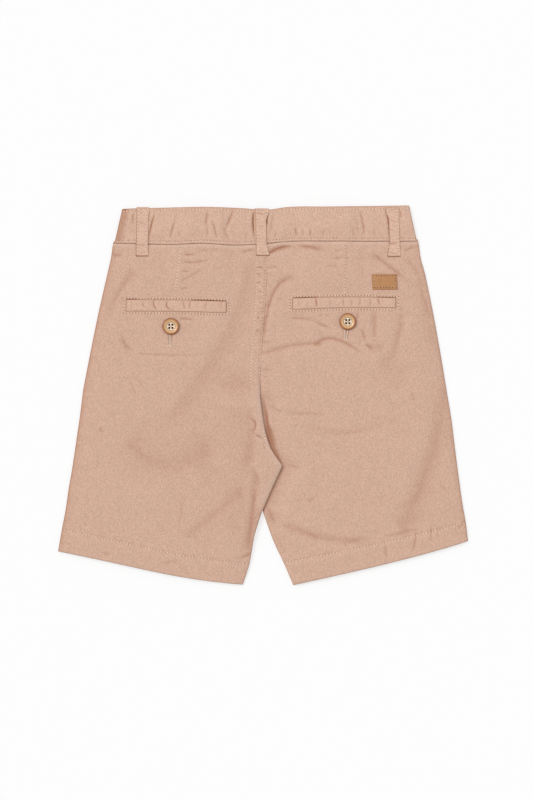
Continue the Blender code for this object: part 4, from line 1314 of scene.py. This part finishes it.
def sew(colour, name, rows, trees, thread, below=0.0, turn=0.0):
    """Stitches of one colour along paths on the cloth, in one mesh. turn lays each askew, in degrees."""
    points, faces, pits = [], [], []
    uneven = np.random.default_rng(sum(map(ord, name)))
    count = 0
    for path in rows:
        places, directions = spaced(path, thread.length + thread.gap)
        for (x, y), (run_x, run_y) in zip(places, directions):
            found = touch(trees, x, y, below)
            if found is None:
                continue
            askew = math.radians(turn + uneven.uniform(-4, 4))
            cos, sin = math.cos(askew), math.sin(askew)
            along = Vector((run_x * cos - run_y * sin, run_x * sin + run_y * cos, 0))
            along = (along - found.normal * along.dot(found.normal)).normalized()
            across = found.normal.cross(along)
            length = thread.length * uneven.uniform(0.92, 1.06)
            template, template_faces = bead(length, thread.radius, thread.arch)
            turned_to = np.array([along, across, found.normal])
            centre = np.array([x + uneven.uniform(-0.06, 0.06), y + uneven.uniform(-0.06, 0.06), found.z])
            start = len(points) * len(template)
            points.append(template @ turned_to + centre)
            faces.extend(tuple(start + corner for corner in face) for face in template_faces)
            # A disc of painted shade marks the needle hole after each stitch.
            if thread.pit > 0 and below == 0:
                pits.append(centre + turned_to.T @ np.array([(thread.length + thread.gap) / 2, 0, 0.03]))
            count += 1
    sewn[colour].append(mesh_piece(name, np.concatenate(points), np.array(faces, dtype=object)))
    if pits:
        sewn["painted needle hole shade"].append(mesh_piece(name + "_pits", *pit_points(pits, thread.pit)))
    print(name, count, "stitches")


print("a stitch is", len(bead(2.3, 0.27, 0.16)[0]), "points")

# %% Paths of the seams
def hem_path(side, above_edge):
    """A line across the back of a leg, that far above the hem's edge."""
    plan = plan_of_panel(side, "back_x", columns=60, finer=4, lap=0.0)
    section = len(LEGS[side]) - 1 - above_edge / HEM_DEPTH
    row = int(np.argmin(np.abs(plan.section[:, 0] - section)))
    return np.stack([plan.x[row, 1:-1], plan.y[row, 1:-1]], axis=1)


def seat_path(inset):
    """A line along the seat seam, that far in from the edge of the left back."""
    plan = plan_of_panel("left", "back_x", columns=4, finer=6, lap=0.0)
    rows = (plan.section[:, 0] > 0.25) & (plan.section[:, 0] < 4.75)
    return np.stack([plan.x[rows, -1] - inset, plan.y[rows, -1]], axis=1)


def band_path(up, first_x=-140.0, last_x=145.0):
    """A line along the band, up of the way from its seam to its top edge."""
    return np.stack(band_place(np.linspace(first_x, last_x, 140), up), axis=1)


def frame_path(corners, beside, above, under, bow=0.0):
    """A closed frame outside the four corners of a patch. bow raises the middle of its long sides."""
    (ax, ay), (bx, by), (cx, cy), (dx, dy) = corners
    share = np.linspace(0.0, 1.0, 25)
    rise = bow * np.sin(math.pi * share)
    left, right = ax - beside, bx + beside
    top = np.stack([left + (right - left) * share, ay + above + (by - ay) * share + rise], axis=1)
    left, right = cx - beside, dx + beside
    bottom = np.stack([left + (right - left) * share, cy - under + (dy - cy) * share + rise], axis=1)
    return [top, [top[-1], bottom[-1]], bottom[::-1], [bottom[0], top[0]]]


seam_row = STITCH_INSET / BAND_HEIGHT
top_row = 1 - seam_row
print("band rows at", round(seam_row, 3), "and", round(top_row, 3), "of its height")

# %% Sew the back
for side in LEGS:
    sew("pale", f"hem_stitches_{side}", [hem_path(side, HEM_DEPTH)], back_trees, PALE_STITCH)
sew("pale", "band_top_stitches", [band_path(top_row)], back_trees[:1], PALE_STITCH)
sew("rose", "band_seam_stitches", [band_path(seam_row)], back_trees[:1], TOPSTITCH)
sew("rose", "seat_edge_stitches", [seat_path(SEAT_ROWS[0])], back_trees, TOPSTITCH)
sew("pale", "seat_strip_stitches", [seat_path(SEAT_ROWS[1])], back_trees, PALE_STITCH)
for side, dart in DARTS.items():
    line = [(dart.x0, dart.y0 - 3.0), (dart.x1, dart.y1)]
    sew("pale", f"dart_stitches_{side}", [line], back_trees, DART_STITCH)
for name, welt in WELTS.items():
    side = name.rsplit("_", 1)[1]
    frame = frame_path(welt.corners, beside=2.3, above=1.1, under=1.7, bow=welt.bow)
    sew("pale", f"pocket_stitches_{side}", frame, back_trees, FRAME_STITCH)
crotch = [(0.5, -33.0), (3.2, -48.0), (3.7, -51.0)]
sew("pale", "crotch_stitches", [crotch], back_trees, LOOP_STITCH)
patch_trees = [tree_of(leather_patch)]
frame = frame_path(PATCH_CORNERS, beside=-PATCH_ROW, above=-1.3, under=-2.1)
sew("tan", "patch_stitches", frame, patch_trees, PATCH_STITCH)
print("sewn on the back:", {colour: len(made) for colour, made in sewn.items()})

# %% Sew the loops and tack them down
for name, loop in BELT_LOOPS.items():
    trees = [tree_of(loops[name])]
    (ax, ay), (bx, by), (cx, cy), (dx, dy) = loop.corners
    sides = []
    for share in LOOP_ROWS:
        sides.append([(ax + (bx - ax) * share, ay - 1.5), (cx + (dx - cx) * share, cy + 1.5)])
    sew("pale", f"{name}_stitches", sides, trees, LOOP_STITCH)
    tacks = []
    for place in TACKS_DOWN:
        left_x, right_x = ax + (cx - ax) * place, bx + (dx - bx) * place
        height = ay + (cy - ay) * place
        tacks.append([(left_x + 1.4, height), (right_x - 1.4, height)])
    sew("rose", f"{name}_tacks", tacks, trees, TACK_STITCH, turn=70.0)
print("sewn with the loops:", {colour: len(made) for colour, made in sewn.items()})

# %% [markdown]
# ## Buttonholes
#
# Under each button is the buttonhole that it came through: a slit with satin stitches packed side by side
# along both edges, a row of small rose stitches outside them and a bar across its lower end. Each satin
# stitch lies across the edge, so the same bead is laid crosswise, much closer together.

# %% Work the buttonholes
Buttonhole = namedtuple("Buttonhole", "x0 y0 x1 y1 upper_half lower_half")
SLIT_CLOTH = 0.1
BUTTONHOLES = {
    "left": Buttonhole(-87.8, 60, -88.4, 47.2, 1.15, 0.95),
    "right": Buttonhole(79, 64, 78.2, 52.8, 2.2, 1.2),
}
for side, (x0, y0, x1, y1, upper, lower) in BUTTONHOLES.items():
    edges = [[(x0 + way * (upper - 0.5), y0), (x1 + way * (lower - 0.5), y1)] for way in (-1, 1)]
    sew("pale", f"buttonhole_edges_{side}", edges, back_trees, SATIN_STITCH, turn=90.0)
    edges = [[(x0 + way * upper, y0), (x1 + way * lower, y1 + 1.0)] for way in (-1, 1)]
    sew("rose", f"buttonhole_outline_{side}", edges, back_trees, OUTLINE_STITCH)
    bar = [[(x1 - 1.1, y1 - 0.3), (x1 + 1.1, y1 - 0.3)]]
    sew("pale", f"buttonhole_bar_{side}", bar, back_trees, BAR_STITCH, turn=90.0)
    # A thin sheet of painted shade lies in the slit.
    x = np.array([[x0 - 0.25, x0 + 0.25], [x1 - 0.05, x1 + 0.05]])
    y = np.array([[y0, y0], [y1, y1]])
    rows = np.linspace(0, 1, 12)[:, None]
    slit_x = x[:1] * (1 - rows) + x[1:] * rows
    slit_y = y[:1] * (1 - rows) + y[1:] * rows
    slit = (slit_x, slit_y, carried(slit_x, slit_y, 0.0) + 0.12)
    name = f"pocket_mouth_{side}_slit"
    pieces[name] = cloth(name, slit, SLIT_CLOTH, spread=1)
print("buttonholes:", sorted(BUTTONHOLES))

# %% The thread that holds each button
class LevelTop:
    """Stands in for a tree of the button's dished centre, which is level enough for thread to lie on."""

    def __init__(self, height):
        self.height = height

    def ray_cast(self, start, direction):
        return Vector((start.x, start.y, self.height)), Vector((0, 0, 1)), 0, 0.0


DIAGONAL = 1.42
reach = HOLE_OFFSET * 0.5
thread = Thread(2 * reach * DIAGONAL, 0.0, 0.20, 0.25, 0)
for name, (x, y) in BUTTONS.items():
    strands = []
    for shift in (-0.22, 0.22):
        strands.append([(x - reach + shift, y - reach - shift), (x + reach + shift, y + reach - shift)])
        strands.append([(x - reach + shift, y + reach + shift), (x + reach + shift, y - reach + shift)])
    side = name.rsplit("_", 1)[1]
    dish = [LevelTop(button_bases[name] + DISH_HEIGHT)]
    sew("rose", f"button_thread_{side}", strands, dish, thread)
    holes = [(dx * HOLE_OFFSET, dy * HOLE_OFFSET) for dx, dy in ((-1, -1), (1, -1), (1, 1), (-1, 1))]
    depths = [np.array([x + dx, y + dy, button_bases[name] + HOLE_DEPTH]) for dx, dy in holes]
    discs = pit_points(depths, 0.98 * HOLE_RADIUS, corners=HOLE_CORNERS)
    sewn["button depths"].append(mesh_piece(f"button_depth_{side}", *discs))
print("buttons are sewn on")

# %% Sew the underside
front_trees = [tree_of(fronts["left"]), tree_of(fronts["right"])]
for side in LEGS:
    hem = [hem_path(side, HEM_DEPTH)]
    sew("pale", f"front_hem_stitches_{side}", hem, front_trees, TOPSTITCH, below=TWILL)
band_trees = [tree_of(front_bands["left"]), tree_of(front_bands["right"])]
rows = [band_path(top_row), band_path(seam_row)]
sew("rose", "front_band_stitches", rows, band_trees, TOPSTITCH, below=BAND_CLOTH)
fly = [(30.0, 143.0), (30.0, 96.0), (27.0, 84.0), (19.0, 74.0), (4.0, 66.0)]
sew("rose", "fly_stitches", [fly], front_trees, TOPSTITCH, below=TWILL)
print("sewn in all:", {colour: len(made) for colour, made in sewn.items()})

# %% [markdown]
# ## Finishes
#
# Twill is woven so that each yarn steps one place sideways on every row, which draws fine diagonal ribs.
# At arm's length the ribs melt together, and what shows is a fine speckle, because no two yarns take the
# dye alike. Both go in one shared node group: it gives a height for the ribs and a value for the speckle.
# An image of a weave would repeat and blur; waves and random values for each yarn stay sharp at every
# distance.

# %% Helpers for node trees
def group_socket(tree, name, in_out, kind, value=None):
    """A socket of a node group, with what it holds when nothing is linked."""
    socket = tree.interface.new_socket(name, in_out=in_out, socket_type=kind)
    if value is not None:
        socket.default_value = value


def add_math(tree, operation, first, second=None, clamp=False):
    """A Math node. first and second are sockets or numbers."""
    node = tree.nodes.new("ShaderNodeMath")
    node.operation = operation
    node.use_clamp = clamp
    for slot, value in enumerate(part for part in (first, second) if part is not None):
        if isinstance(value, (int, float)):
            node.inputs[slot].default_value = value
        else:
            tree.links.new(value, node.inputs[slot])
    return node.outputs[0]


def add_mix(tree, factor, first, second, mode="MIX"):
    """A Mix Color node. Colours are sockets or RGB triples."""
    node = tree.nodes.new("ShaderNodeMix")
    node.data_type = "RGBA"
    node.blend_type = mode
    for socket, value in ((node.inputs[0], factor), (node.inputs[6], first), (node.inputs[7], second)):
        if isinstance(value, (int, float)):
            socket.default_value = value
        elif isinstance(value, tuple):
            socket.default_value = (*value, 1.0)
        else:
            tree.links.new(value, socket)
    return node.outputs[2]


def set_inputs(tree, node, inputs):
    """Set or link some of a node's inputs by name."""
    for name, value in inputs.items():
        socket = node.inputs[name.replace("_", " ")]
        if hasattr(value, "links"):
            tree.links.new(value, socket)
        else:
            socket.default_value = value
    return node


def add_node(tree, kind, **inputs):
    """A node of a kind, with some of its inputs set or linked by name."""
    return set_inputs(tree, tree.nodes.new(kind), inputs)


def place_group(tree, group, **inputs):
    """A node that stands for a node group, with some of its inputs set or linked by name."""
    node = tree.nodes.new("ShaderNodeGroup")
    node.node_tree = group
    return set_inputs(tree, node, inputs)


def scaled(tree, value, low, high):
    """A 0 to 1 value, read from low to high."""
    node = add_node(tree, "ShaderNodeMapRange", Value=value, To_Min=low, To_Max=high)
    return node.outputs["Result"]


def stored(tree, label):
    """A value that the mesh stores at each point."""
    node = tree.nodes.new("ShaderNodeAttribute")
    node.attribute_name = label
    return node.outputs["Fac"]


def toned(tree, colour, level):
    """A colour made darker or lighter by a level near 1."""
    grey = add_node(tree, "ShaderNodeCombineXYZ", X=level, Y=level, Z=level)
    return add_mix(tree, 1.0, colour, grey.outputs[0], mode="MULTIPLY")


def add_relief(tree, shader, height, strength, distance):
    """A bump on the shader's normal."""
    bump = add_node(tree, "ShaderNodeBump", Height=height, Strength=strength, Distance=distance)
    tree.links.new(bump.outputs["Normal"], shader.inputs["Normal"])


def new_finish(name):
    """A material, its node tree, its shader and the object's own coordinates."""
    made = bpy.data.materials.new(name)
    made.use_nodes = True
    tree = made.node_tree
    place = tree.nodes.new("ShaderNodeTexCoord").outputs["Object"]
    return made, tree, tree.nodes["Principled BSDF"], place


print("node helpers ready")

# %% The twill group, shared by every cloth
FLOAT_LENGTH = 2.8
twill_weave = bpy.data.node_groups.new("twill weave", "ShaderNodeTree")
group_socket(twill_weave, "Vector", "INPUT", "NodeSocketVector")
for label, value in (("Grain angle", 0.0), ("Yarn pitch", 0.00034)):
    group_socket(twill_weave, label, "INPUT", "NodeSocketFloat", value)
for label in ("Height", "Speckle", "Cloud"):
    group_socket(twill_weave, label, "OUTPUT", "NodeSocketFloat")
inside = twill_weave.nodes.new("NodeGroupInput")
outside = twill_weave.nodes.new("NodeGroupOutput")
turned_grain = add_node(twill_weave, "ShaderNodeVectorRotate", Vector=inside.outputs["Vector"])
turned_grain.rotation_type = "Z_AXIS"
twill_weave.links.new(inside.outputs["Grain angle"], turned_grain.inputs["Angle"])
grain = turned_grain.outputs["Vector"]
wobble = add_node(twill_weave, "ShaderNodeTexNoise", Vector=grain, Scale=160.0, Detail=2.0)
apart = add_node(twill_weave, "ShaderNodeSeparateXYZ", Vector=grain)
yarn = add_math(twill_weave, "DIVIDE", apart.outputs["X"], inside.outputs["Yarn pitch"])
yarn = add_math(twill_weave, "ADD", yarn, wobble.outputs["Fac"])
yarn_number = add_math(twill_weave, "FLOOR", yarn)
float_length = add_math(twill_weave, "MULTIPLY", inside.outputs["Yarn pitch"], FLOAT_LENGTH)
run = add_math(twill_weave, "DIVIDE", apart.outputs["Y"], float_length)
run = add_math(twill_weave, "ADD", run, add_math(twill_weave, "MULTIPLY", yarn_number, 1 / 3))
run_number = add_math(twill_weave, "FLOOR", run)
cell = add_node(twill_weave, "ShaderNodeCombineXYZ", X=yarn_number, Y=run_number)
dye = add_node(twill_weave, "ShaderNodeTexWhiteNoise", Vector=cell.outputs[0])
bulges = []
for counted in (yarn, run):
    turn = add_math(twill_weave, "MULTIPLY", add_math(twill_weave, "FRACT", counted), math.pi)
    bulges.append(add_math(twill_weave, "SINE", turn))
height = add_math(twill_weave, "MULTIPLY", *bulges)
cloud = add_node(twill_weave, "ShaderNodeTexNoise", Vector=grain, Scale=500.0, Detail=3.0, Roughness=0.6)
values = {"Height": height, "Speckle": dye.outputs["Value"], "Cloud": cloud.outputs["Fac"]}
set_inputs(twill_weave, outside, values)
print("twill group outputs:", [socket.name for socket in outside.inputs if socket.name])

# %% [markdown]
# ### Painted shade in the creases
#
# The finish paints shade into the creases and a highlight where the cloth stands up. The cloth meshes
# carry the depth of each point, with the painted shade of their surfaces, and its distance to the nearest
# crease, so a second group turns them into three masks: painted shade, deeper painted shade, and painted
# highlight. Ambient occlusion nodes could find the hollows too, but they slow every render and change with
# what lies nearby.

# %% The crease group
LINE_WIDTH = 0.6
painted_crease_marks = bpy.data.node_groups.new("painted crease marks", "ShaderNodeTree")
for label, value in (("Depth", 0.0), ("Full depth", 0.5), ("Line off", 0.0), ("Line depth", 0.0)):
    group_socket(painted_crease_marks, label, "INPUT", "NodeSocketFloat", value)
for label in ("Creased", "Deep", "Painted highlight"):
    group_socket(painted_crease_marks, label, "OUTPUT", "NodeSocketFloat")
inside = painted_crease_marks.nodes.new("NodeGroupInput")
outside = painted_crease_marks.nodes.new("NodeGroupOutput")
off = add_math(painted_crease_marks, "DIVIDE", inside.outputs["Line off"], LINE_WIDTH)
off = add_math(painted_crease_marks, "MULTIPLY", add_math(painted_crease_marks, "MULTIPLY", off, off), -1.0)
line = add_math(painted_crease_marks, "MULTIPLY", add_math(painted_crease_marks, "EXPONENT", off), inside.outputs["Line depth"])
# The depth gives painted shade in the creases, and painted highlight where it is negative.
share = add_math(painted_crease_marks, "DIVIDE", inside.outputs["Depth"], inside.outputs["Full depth"])
raised = add_math(painted_crease_marks, "MULTIPLY", share, -1.0)
share = add_math(painted_crease_marks, "ADD", share, line)
deeper = add_math(painted_crease_marks, "SUBTRACT", share, 1.0)
for label, value in (("Creased", share), ("Deep", deeper), ("Painted highlight", raised)):
    painted_crease_marks.links.new(add_math(painted_crease_marks, "MAXIMUM", value, 0.0, clamp=True), outside.inputs[label])
print("painted crease marks group ready")

# %% Twill finishes
ROSE_BEIGE = (0.640, 0.415, 0.310)
# The band, welts and loops are the body's cloth in lighter copies of its colour: painted light.
BAND_BEIGE_PAINTED_LIGHTER = (0.668, 0.436, 0.326)
LOOP_BEIGE_PAINTED_LIGHTER = (0.705, 0.462, 0.347)
# Painted shade for creases and deep creases, and painted highlight for ridges and lit edges.
PAINTED_CREASE_SHADE = (0.36, 0.135, 0.065)
PAINTED_DEEP_SHADE = (0.16, 0.062, 0.028)
PAINTED_HIGHLIGHT_PALE = (0.80, 0.60, 0.49)
# Painted shade for the pocket mouths, the buttonhole slits and the needle holes.
POCKET_SHADE = (0.21, 0.062, 0.026)
HOLE_SHADE = (0.042, 0.011, 0.003)
MARK_TINTS = [("Creased", 0.75, PAINTED_CREASE_SHADE), ("Deep", 0.75, PAINTED_DEEP_SHADE), ("Painted highlight", 0.30, PAINTED_HIGHLIGHT_PALE)]


def twill_finish(name, grain_angle, colour=ROSE_BEIGE):
    """Woven cotton with painted shade in its creases and painted highlight where it stands up."""
    made, tree, shader, place = new_finish(name)
    weave = place_group(tree, twill_weave, Vector=place, Grain_angle=grain_angle)
    marks = place_group(
        tree, painted_crease_marks, Depth=stored(tree, "depth_and_painted_shade"), Full_depth=1.0,
        Line_off=stored(tree, "line_off"), Line_depth=stored(tree, "line_depth"),
    )
    lightness = add_math(
        tree, "MULTIPLY",
        scaled(tree, weave.outputs["Speckle"], 0.82, 1.18),
        scaled(tree, weave.outputs["Cloud"], 0.96, 1.04),
    )
    dyed = toned(tree, colour, lightness)
    for label, share, tint in MARK_TINTS:
        dyed = add_mix(tree, add_math(tree, "MULTIPLY", marks.outputs[label], share), dyed, tint)
    tree.links.new(dyed, shader.inputs["Base Color"])
    tree.links.new(scaled(tree, weave.outputs["Speckle"], 0.82, 0.98), shader.inputs["Roughness"])
    add_relief(tree, shader, weave.outputs["Height"], 0.5, 0.00012)
    shader.inputs["Specular IOR Level"].default_value = 0.25
    shader.inputs["Sheen Weight"].default_value = 0.12
    shader.inputs["Sheen Roughness"].default_value = 0.5
    made.diffuse_color = (*colour, 1.0)
    return made


body_twill = twill_finish("rose_beige_twill", 0.0)
band_twill = twill_finish("rose_beige_twill_crosswise", 0.35, BAND_BEIGE_PAINTED_LIGHTER)
loop_twill = twill_finish("rose_beige_twill_loops", 0.2, LOOP_BEIGE_PAINTED_LIGHTER)
pocket_shade = twill_finish("painted_pocket_shade_twill", 0.0, POCKET_SHADE)
button_shade = twill_finish("button_hole_shade", 0.0, HOLE_SHADE)
for shaded in (pocket_shade, button_shade):
    shader = shaded.node_tree.nodes["Principled BSDF"]
    shader.inputs["Sheen Weight"].default_value = 0.0
    shader.inputs["Specular IOR Level"].default_value = 0.05
print("cloth finishes:", body_twill.name, band_twill.name, pocket_shade.name)

# %% [markdown]
# ### Thread, button and leather
#
# Thread is cotton wrapped in a tight twist, so it has its own fine slanting ribs and a dull sheen. The
# button is polished resin: pale and cloudy in the middle, caramel with darker streaks at the rim, and
# glossy, with a ring of painted shade in the groove round its middle. The leather is matt, with a pebbled
# grain and edges a little darker where they were burnished, and painted shade in its stitching channel.

# %% Thread finishes
def thread_finish(name, colour):
    """Twisted cotton thread, from the weave drawn finer."""
    made, tree, shader, place = new_finish(name)
    weave = place_group(tree, twill_weave, Vector=place, Grain_angle=0.6, Yarn_pitch=0.0002)
    twisted = toned(tree, colour, scaled(tree, weave.outputs["Speckle"], 0.85, 1.15))
    tree.links.new(twisted, shader.inputs["Base Color"])
    add_relief(tree, shader, weave.outputs["Height"], 0.5, 0.00006)
    shader.inputs["Roughness"].default_value = 0.6
    shader.inputs["Sheen Weight"].default_value = 0.2
    made.diffuse_color = (*colour, 1.0)
    return made


rose_thread = thread_finish("rose_thread", (0.70, 0.47, 0.36))
pale_thread = thread_finish("pale_thread", (0.86, 0.69, 0.56))
tan_thread = thread_finish("tan_thread", (0.72, 0.47, 0.27))
print("threads:", rose_thread.name, pale_thread.name, tan_thread.name)

# %% Button finish, from the middle out to the rim
button_resin, tree, shader, place = new_finish("button_resin")
apart = add_node(tree, "ShaderNodeSeparateXYZ", Vector=place)
streaks = add_node(tree, "ShaderNodeTexNoise", Vector=place, Scale=420.0, Detail=3.0)
squares = [add_math(tree, "POWER", apart.outputs[axis], 2.0) for axis in ("X", "Y")]
radius = add_math(tree, "SQRT", add_math(tree, "ADD", *squares))
radius = add_math(tree, "ADD", radius, scaled(tree, streaks.outputs["Fac"], -0.0003, 0.0003))
rings = add_node(tree, "ShaderNodeValToRGB", Fac=add_math(tree, "DIVIDE", radius, BUTTON_RADIUS * MM))
# The dark ring at 0.495 lies in the groove between the pale centre and the rim: painted shade. Towards the
# outer edge the ramp grows darker.
RING_COLOURS = [
    (0.00, (0.92, 0.74, 0.56)),
    (0.455, (0.90, 0.72, 0.54)),
    (0.495, (0.20, 0.10, 0.05)),
    (0.535, (0.62, 0.42, 0.23)),
    (0.64, (0.76, 0.47, 0.23)),
    (0.76, (0.62, 0.31, 0.13)),
    (0.88, (0.41, 0.155, 0.050)),
    (1.00, (0.22, 0.072, 0.022)),
]
ramp = rings.color_ramp
while len(ramp.elements) < len(RING_COLOURS):
    ramp.elements.new(0.5)
for element, (position, colour) in zip(ramp.elements, RING_COLOURS):
    element.position = position
    element.color = (*colour, 1.0)
streaked = toned(tree, rings.outputs["Color"], scaled(tree, streaks.outputs["Fac"], 0.85, 1.12))
tree.links.new(streaked, shader.inputs["Base Color"])
tree.links.new(scaled(tree, streaks.outputs["Fac"], 0.22, 0.36), shader.inputs["Roughness"])
shader.inputs["Coat Weight"].default_value = 0.25
shader.inputs["Coat Roughness"].default_value = 0.12
button_resin.diffuse_color = (0.55, 0.33, 0.18, 1.0)
print("button rings:", len(RING_COLOURS))

# %% Leather finish
TAN = (0.466, 0.221, 0.086)
BURNISH_AND_PAINTED_SHADE = (0.24, 0.10, 0.04)
tan_leather, tree, shader, place = new_finish("tan_leather")
pebbles = add_node(tree, "ShaderNodeTexVoronoi", Vector=place, Scale=1100.0)
mottle = add_node(tree, "ShaderNodeTexNoise", Vector=place, Scale=260.0, Detail=4.0)
tanned = toned(tree, TAN, scaled(tree, mottle.outputs["Fac"], 0.82, 1.18))
# Darker at the burnished edges and, as painted shade, in the stitching channel, both read from the stored
# depth.
marks = place_group(tree, painted_crease_marks, Depth=stored(tree, "depth_and_painted_shade"), Full_depth=0.12)
burnished_and_shaded = add_mix(tree, add_math(tree, "MULTIPLY", marks.outputs["Creased"], 0.8), tanned, BURNISH_AND_PAINTED_SHADE)
tree.links.new(burnished_and_shaded, shader.inputs["Base Color"])
tree.links.new(scaled(tree, mottle.outputs["Fac"], 0.5, 0.7), shader.inputs["Roughness"])
add_relief(tree, shader, pebbles.outputs["Distance"], 0.4, 0.00015)
tan_leather.diffuse_color = (*TAN, 1.0)
print("leather finish ready")

# %% [markdown]
# ## Finish every piece and tie it to the solid model
#
# Each piece is given its material and rides on the garment's one body, and the solid that it stands for
# is hidden.

# %% Materials
for name, piece in pieces.items():
    if "mouth" in name:
        finish = pocket_shade
    elif "button" in name:
        finish = button_resin
    elif "leather" in name:
        finish = tan_leather
    elif "back_loop" in name:
        finish = loop_twill
    else:
        finish = band_twill if "band" in name or "welt" in name else body_twill
    piece.data.materials.clear()
    piece.data.materials.append(finish)
SEWN_FINISHES = {
    "rose": rose_thread,
    "pale": pale_thread,
    "tan": tan_thread,
    "painted needle hole shade": pocket_shade,
    "button depths": button_shade,
}
for colour, made in sewn.items():
    for piece in made:
        piece.data.materials.append(SEWN_FINISHES[colour])
print("pieces with a finish:", len(pieces) + sum(len(made) for made in sewn.values()))

# %% Bodies and solids
STANDS_FOR = {
    "back_cloth_left": "back_panel_left",
    "back_cloth_right": "back_panel_right",
    "front_cloth_left": "front_panel_left",
    "front_cloth_right": "front_panel_right",
    "back_band": "waistband_back",
    "front_band_left": "waistband_front_left",
    "front_band_right": "waistband_front_right",
    "back_loop_left": "belt_loop_back_left",
    "back_loop_centre": "belt_loop_back_centre",
    "back_loop_right": "belt_loop_back_right",
    "front_loop_left": "belt_loop_front_left",
    "front_loop_right": "belt_loop_front_right",
    "pocket_welt_cloth_left": "pocket_welt_left",
    "pocket_welt_cloth_right": "pocket_welt_right",
    "pocket_button_turned_left": "pocket_button_left",
    "pocket_button_turned_right": "pocket_button_right",
    "leather_patch": "label_patch",
}
stitches = [piece for made in sewn.values() for piece in made]
for piece in [*pieces.values(), *stitches]:
    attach(piece, "root")
for name, node in STANDS_FOR.items():
    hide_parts(node)
print("solids replaced:", len(STANDS_FOR))

# %% A record for a cut piece's flat size
Cut = namedtuple("Cut", "width length area rests_on")

# %% [markdown]
# ## Table, light and camera
#
# The shorts lie on a plain white table under soft daylight from the upper left. A wide, distant lamp makes
# the folds readable, a weak one on the right keeps the shadows open, and a bright even sky fills the rest.
# The camera looks straight down from high up, with a long lens, so that the outline is not distorted.

# %% The table
TABLE_GREY = 0.36
TABLE_GLOW = 0.62
bpy.ops.mesh.primitive_plane_add(size=6, location=(0, 0, -0.0003))
table_top = bpy.context.object
table_top.name = "table"
white = bpy.data.materials.new("white_table")
white.use_nodes = True
shader = white.node_tree.nodes["Principled BSDF"]
dust = add_node(white.node_tree, "ShaderNodeTexNoise", Scale=900.0, Detail=2.0)
dusted = scaled(white.node_tree, dust.outputs["Fac"], 0.86, 0.90)
white.node_tree.links.new(dusted, shader.inputs["Roughness"])
shader.inputs["Base Color"].default_value = (TABLE_GREY, TABLE_GREY, TABLE_GREY, 1.0)
shader.inputs["Emission Color"].default_value = (1.0, 1.0, 1.0, 1.0)
shader.inputs["Emission Strength"].default_value = TABLE_GLOW
shader.inputs["Specular IOR Level"].default_value = 0.1
table_top.data.materials.append(white)
print("table is", tuple(round(side, 1) for side in table_top.dimensions), "m")

# %% The lamps and the sky
SKY_STRENGTH = 0.584


def lamp(name, towards, power, softness):
    """Distant light that falls towards a direction. softness is the angle of the lamp in degrees."""
    light = bpy.data.lights.new(name, "SUN")
    light.energy = power
    light.angle = math.radians(softness)
    holder = bpy.data.objects.new(name, light)
    holder.location = -Vector(towards)
    holder.rotation_euler = Vector(towards).to_track_quat("-Z", "Y").to_euler()
    bpy.context.scene.collection.objects.link(holder)
    return holder


lamps = [
    lamp("window_left", (0.66, -0.46, -1.0), 1.35, 30.0),
    lamp("fill_right", (-0.6, -0.2, -1.0), 0.35, 60.0),
]
sky = bpy.data.worlds.new("white_sky")
sky.use_nodes = True
background = sky.node_tree.nodes["Background"]
background.inputs["Color"].default_value = (1.0, 1.0, 1.0, 1.0)
background.inputs["Strength"].default_value = SKY_STRENGTH
bpy.context.scene.world = sky
bpy.context.scene.view_settings.view_transform = "Standard"
print("lamps:", [holder.name for holder in lamps])

# %% The camera
CAMERA_HEIGHT = 1.9
SENSOR = 36.0
VIEW_WIDTH_AT_TABLE = 0.76
VIEW_CENTRE = (0.0033, -0.0043)
camera_data = bpy.data.cameras.new("overhead_camera")
camera_data.sensor_width = SENSOR
camera_data.lens = SENSOR * CAMERA_HEIGHT / VIEW_WIDTH_AT_TABLE
camera = bpy.data.objects.new("overhead_camera", camera_data)
camera.location = (*VIEW_CENTRE, CAMERA_HEIGHT)
bpy.context.scene.collection.objects.link(camera)
bpy.context.scene.camera = camera
print("lens", round(camera_data.lens, 1), "mm")
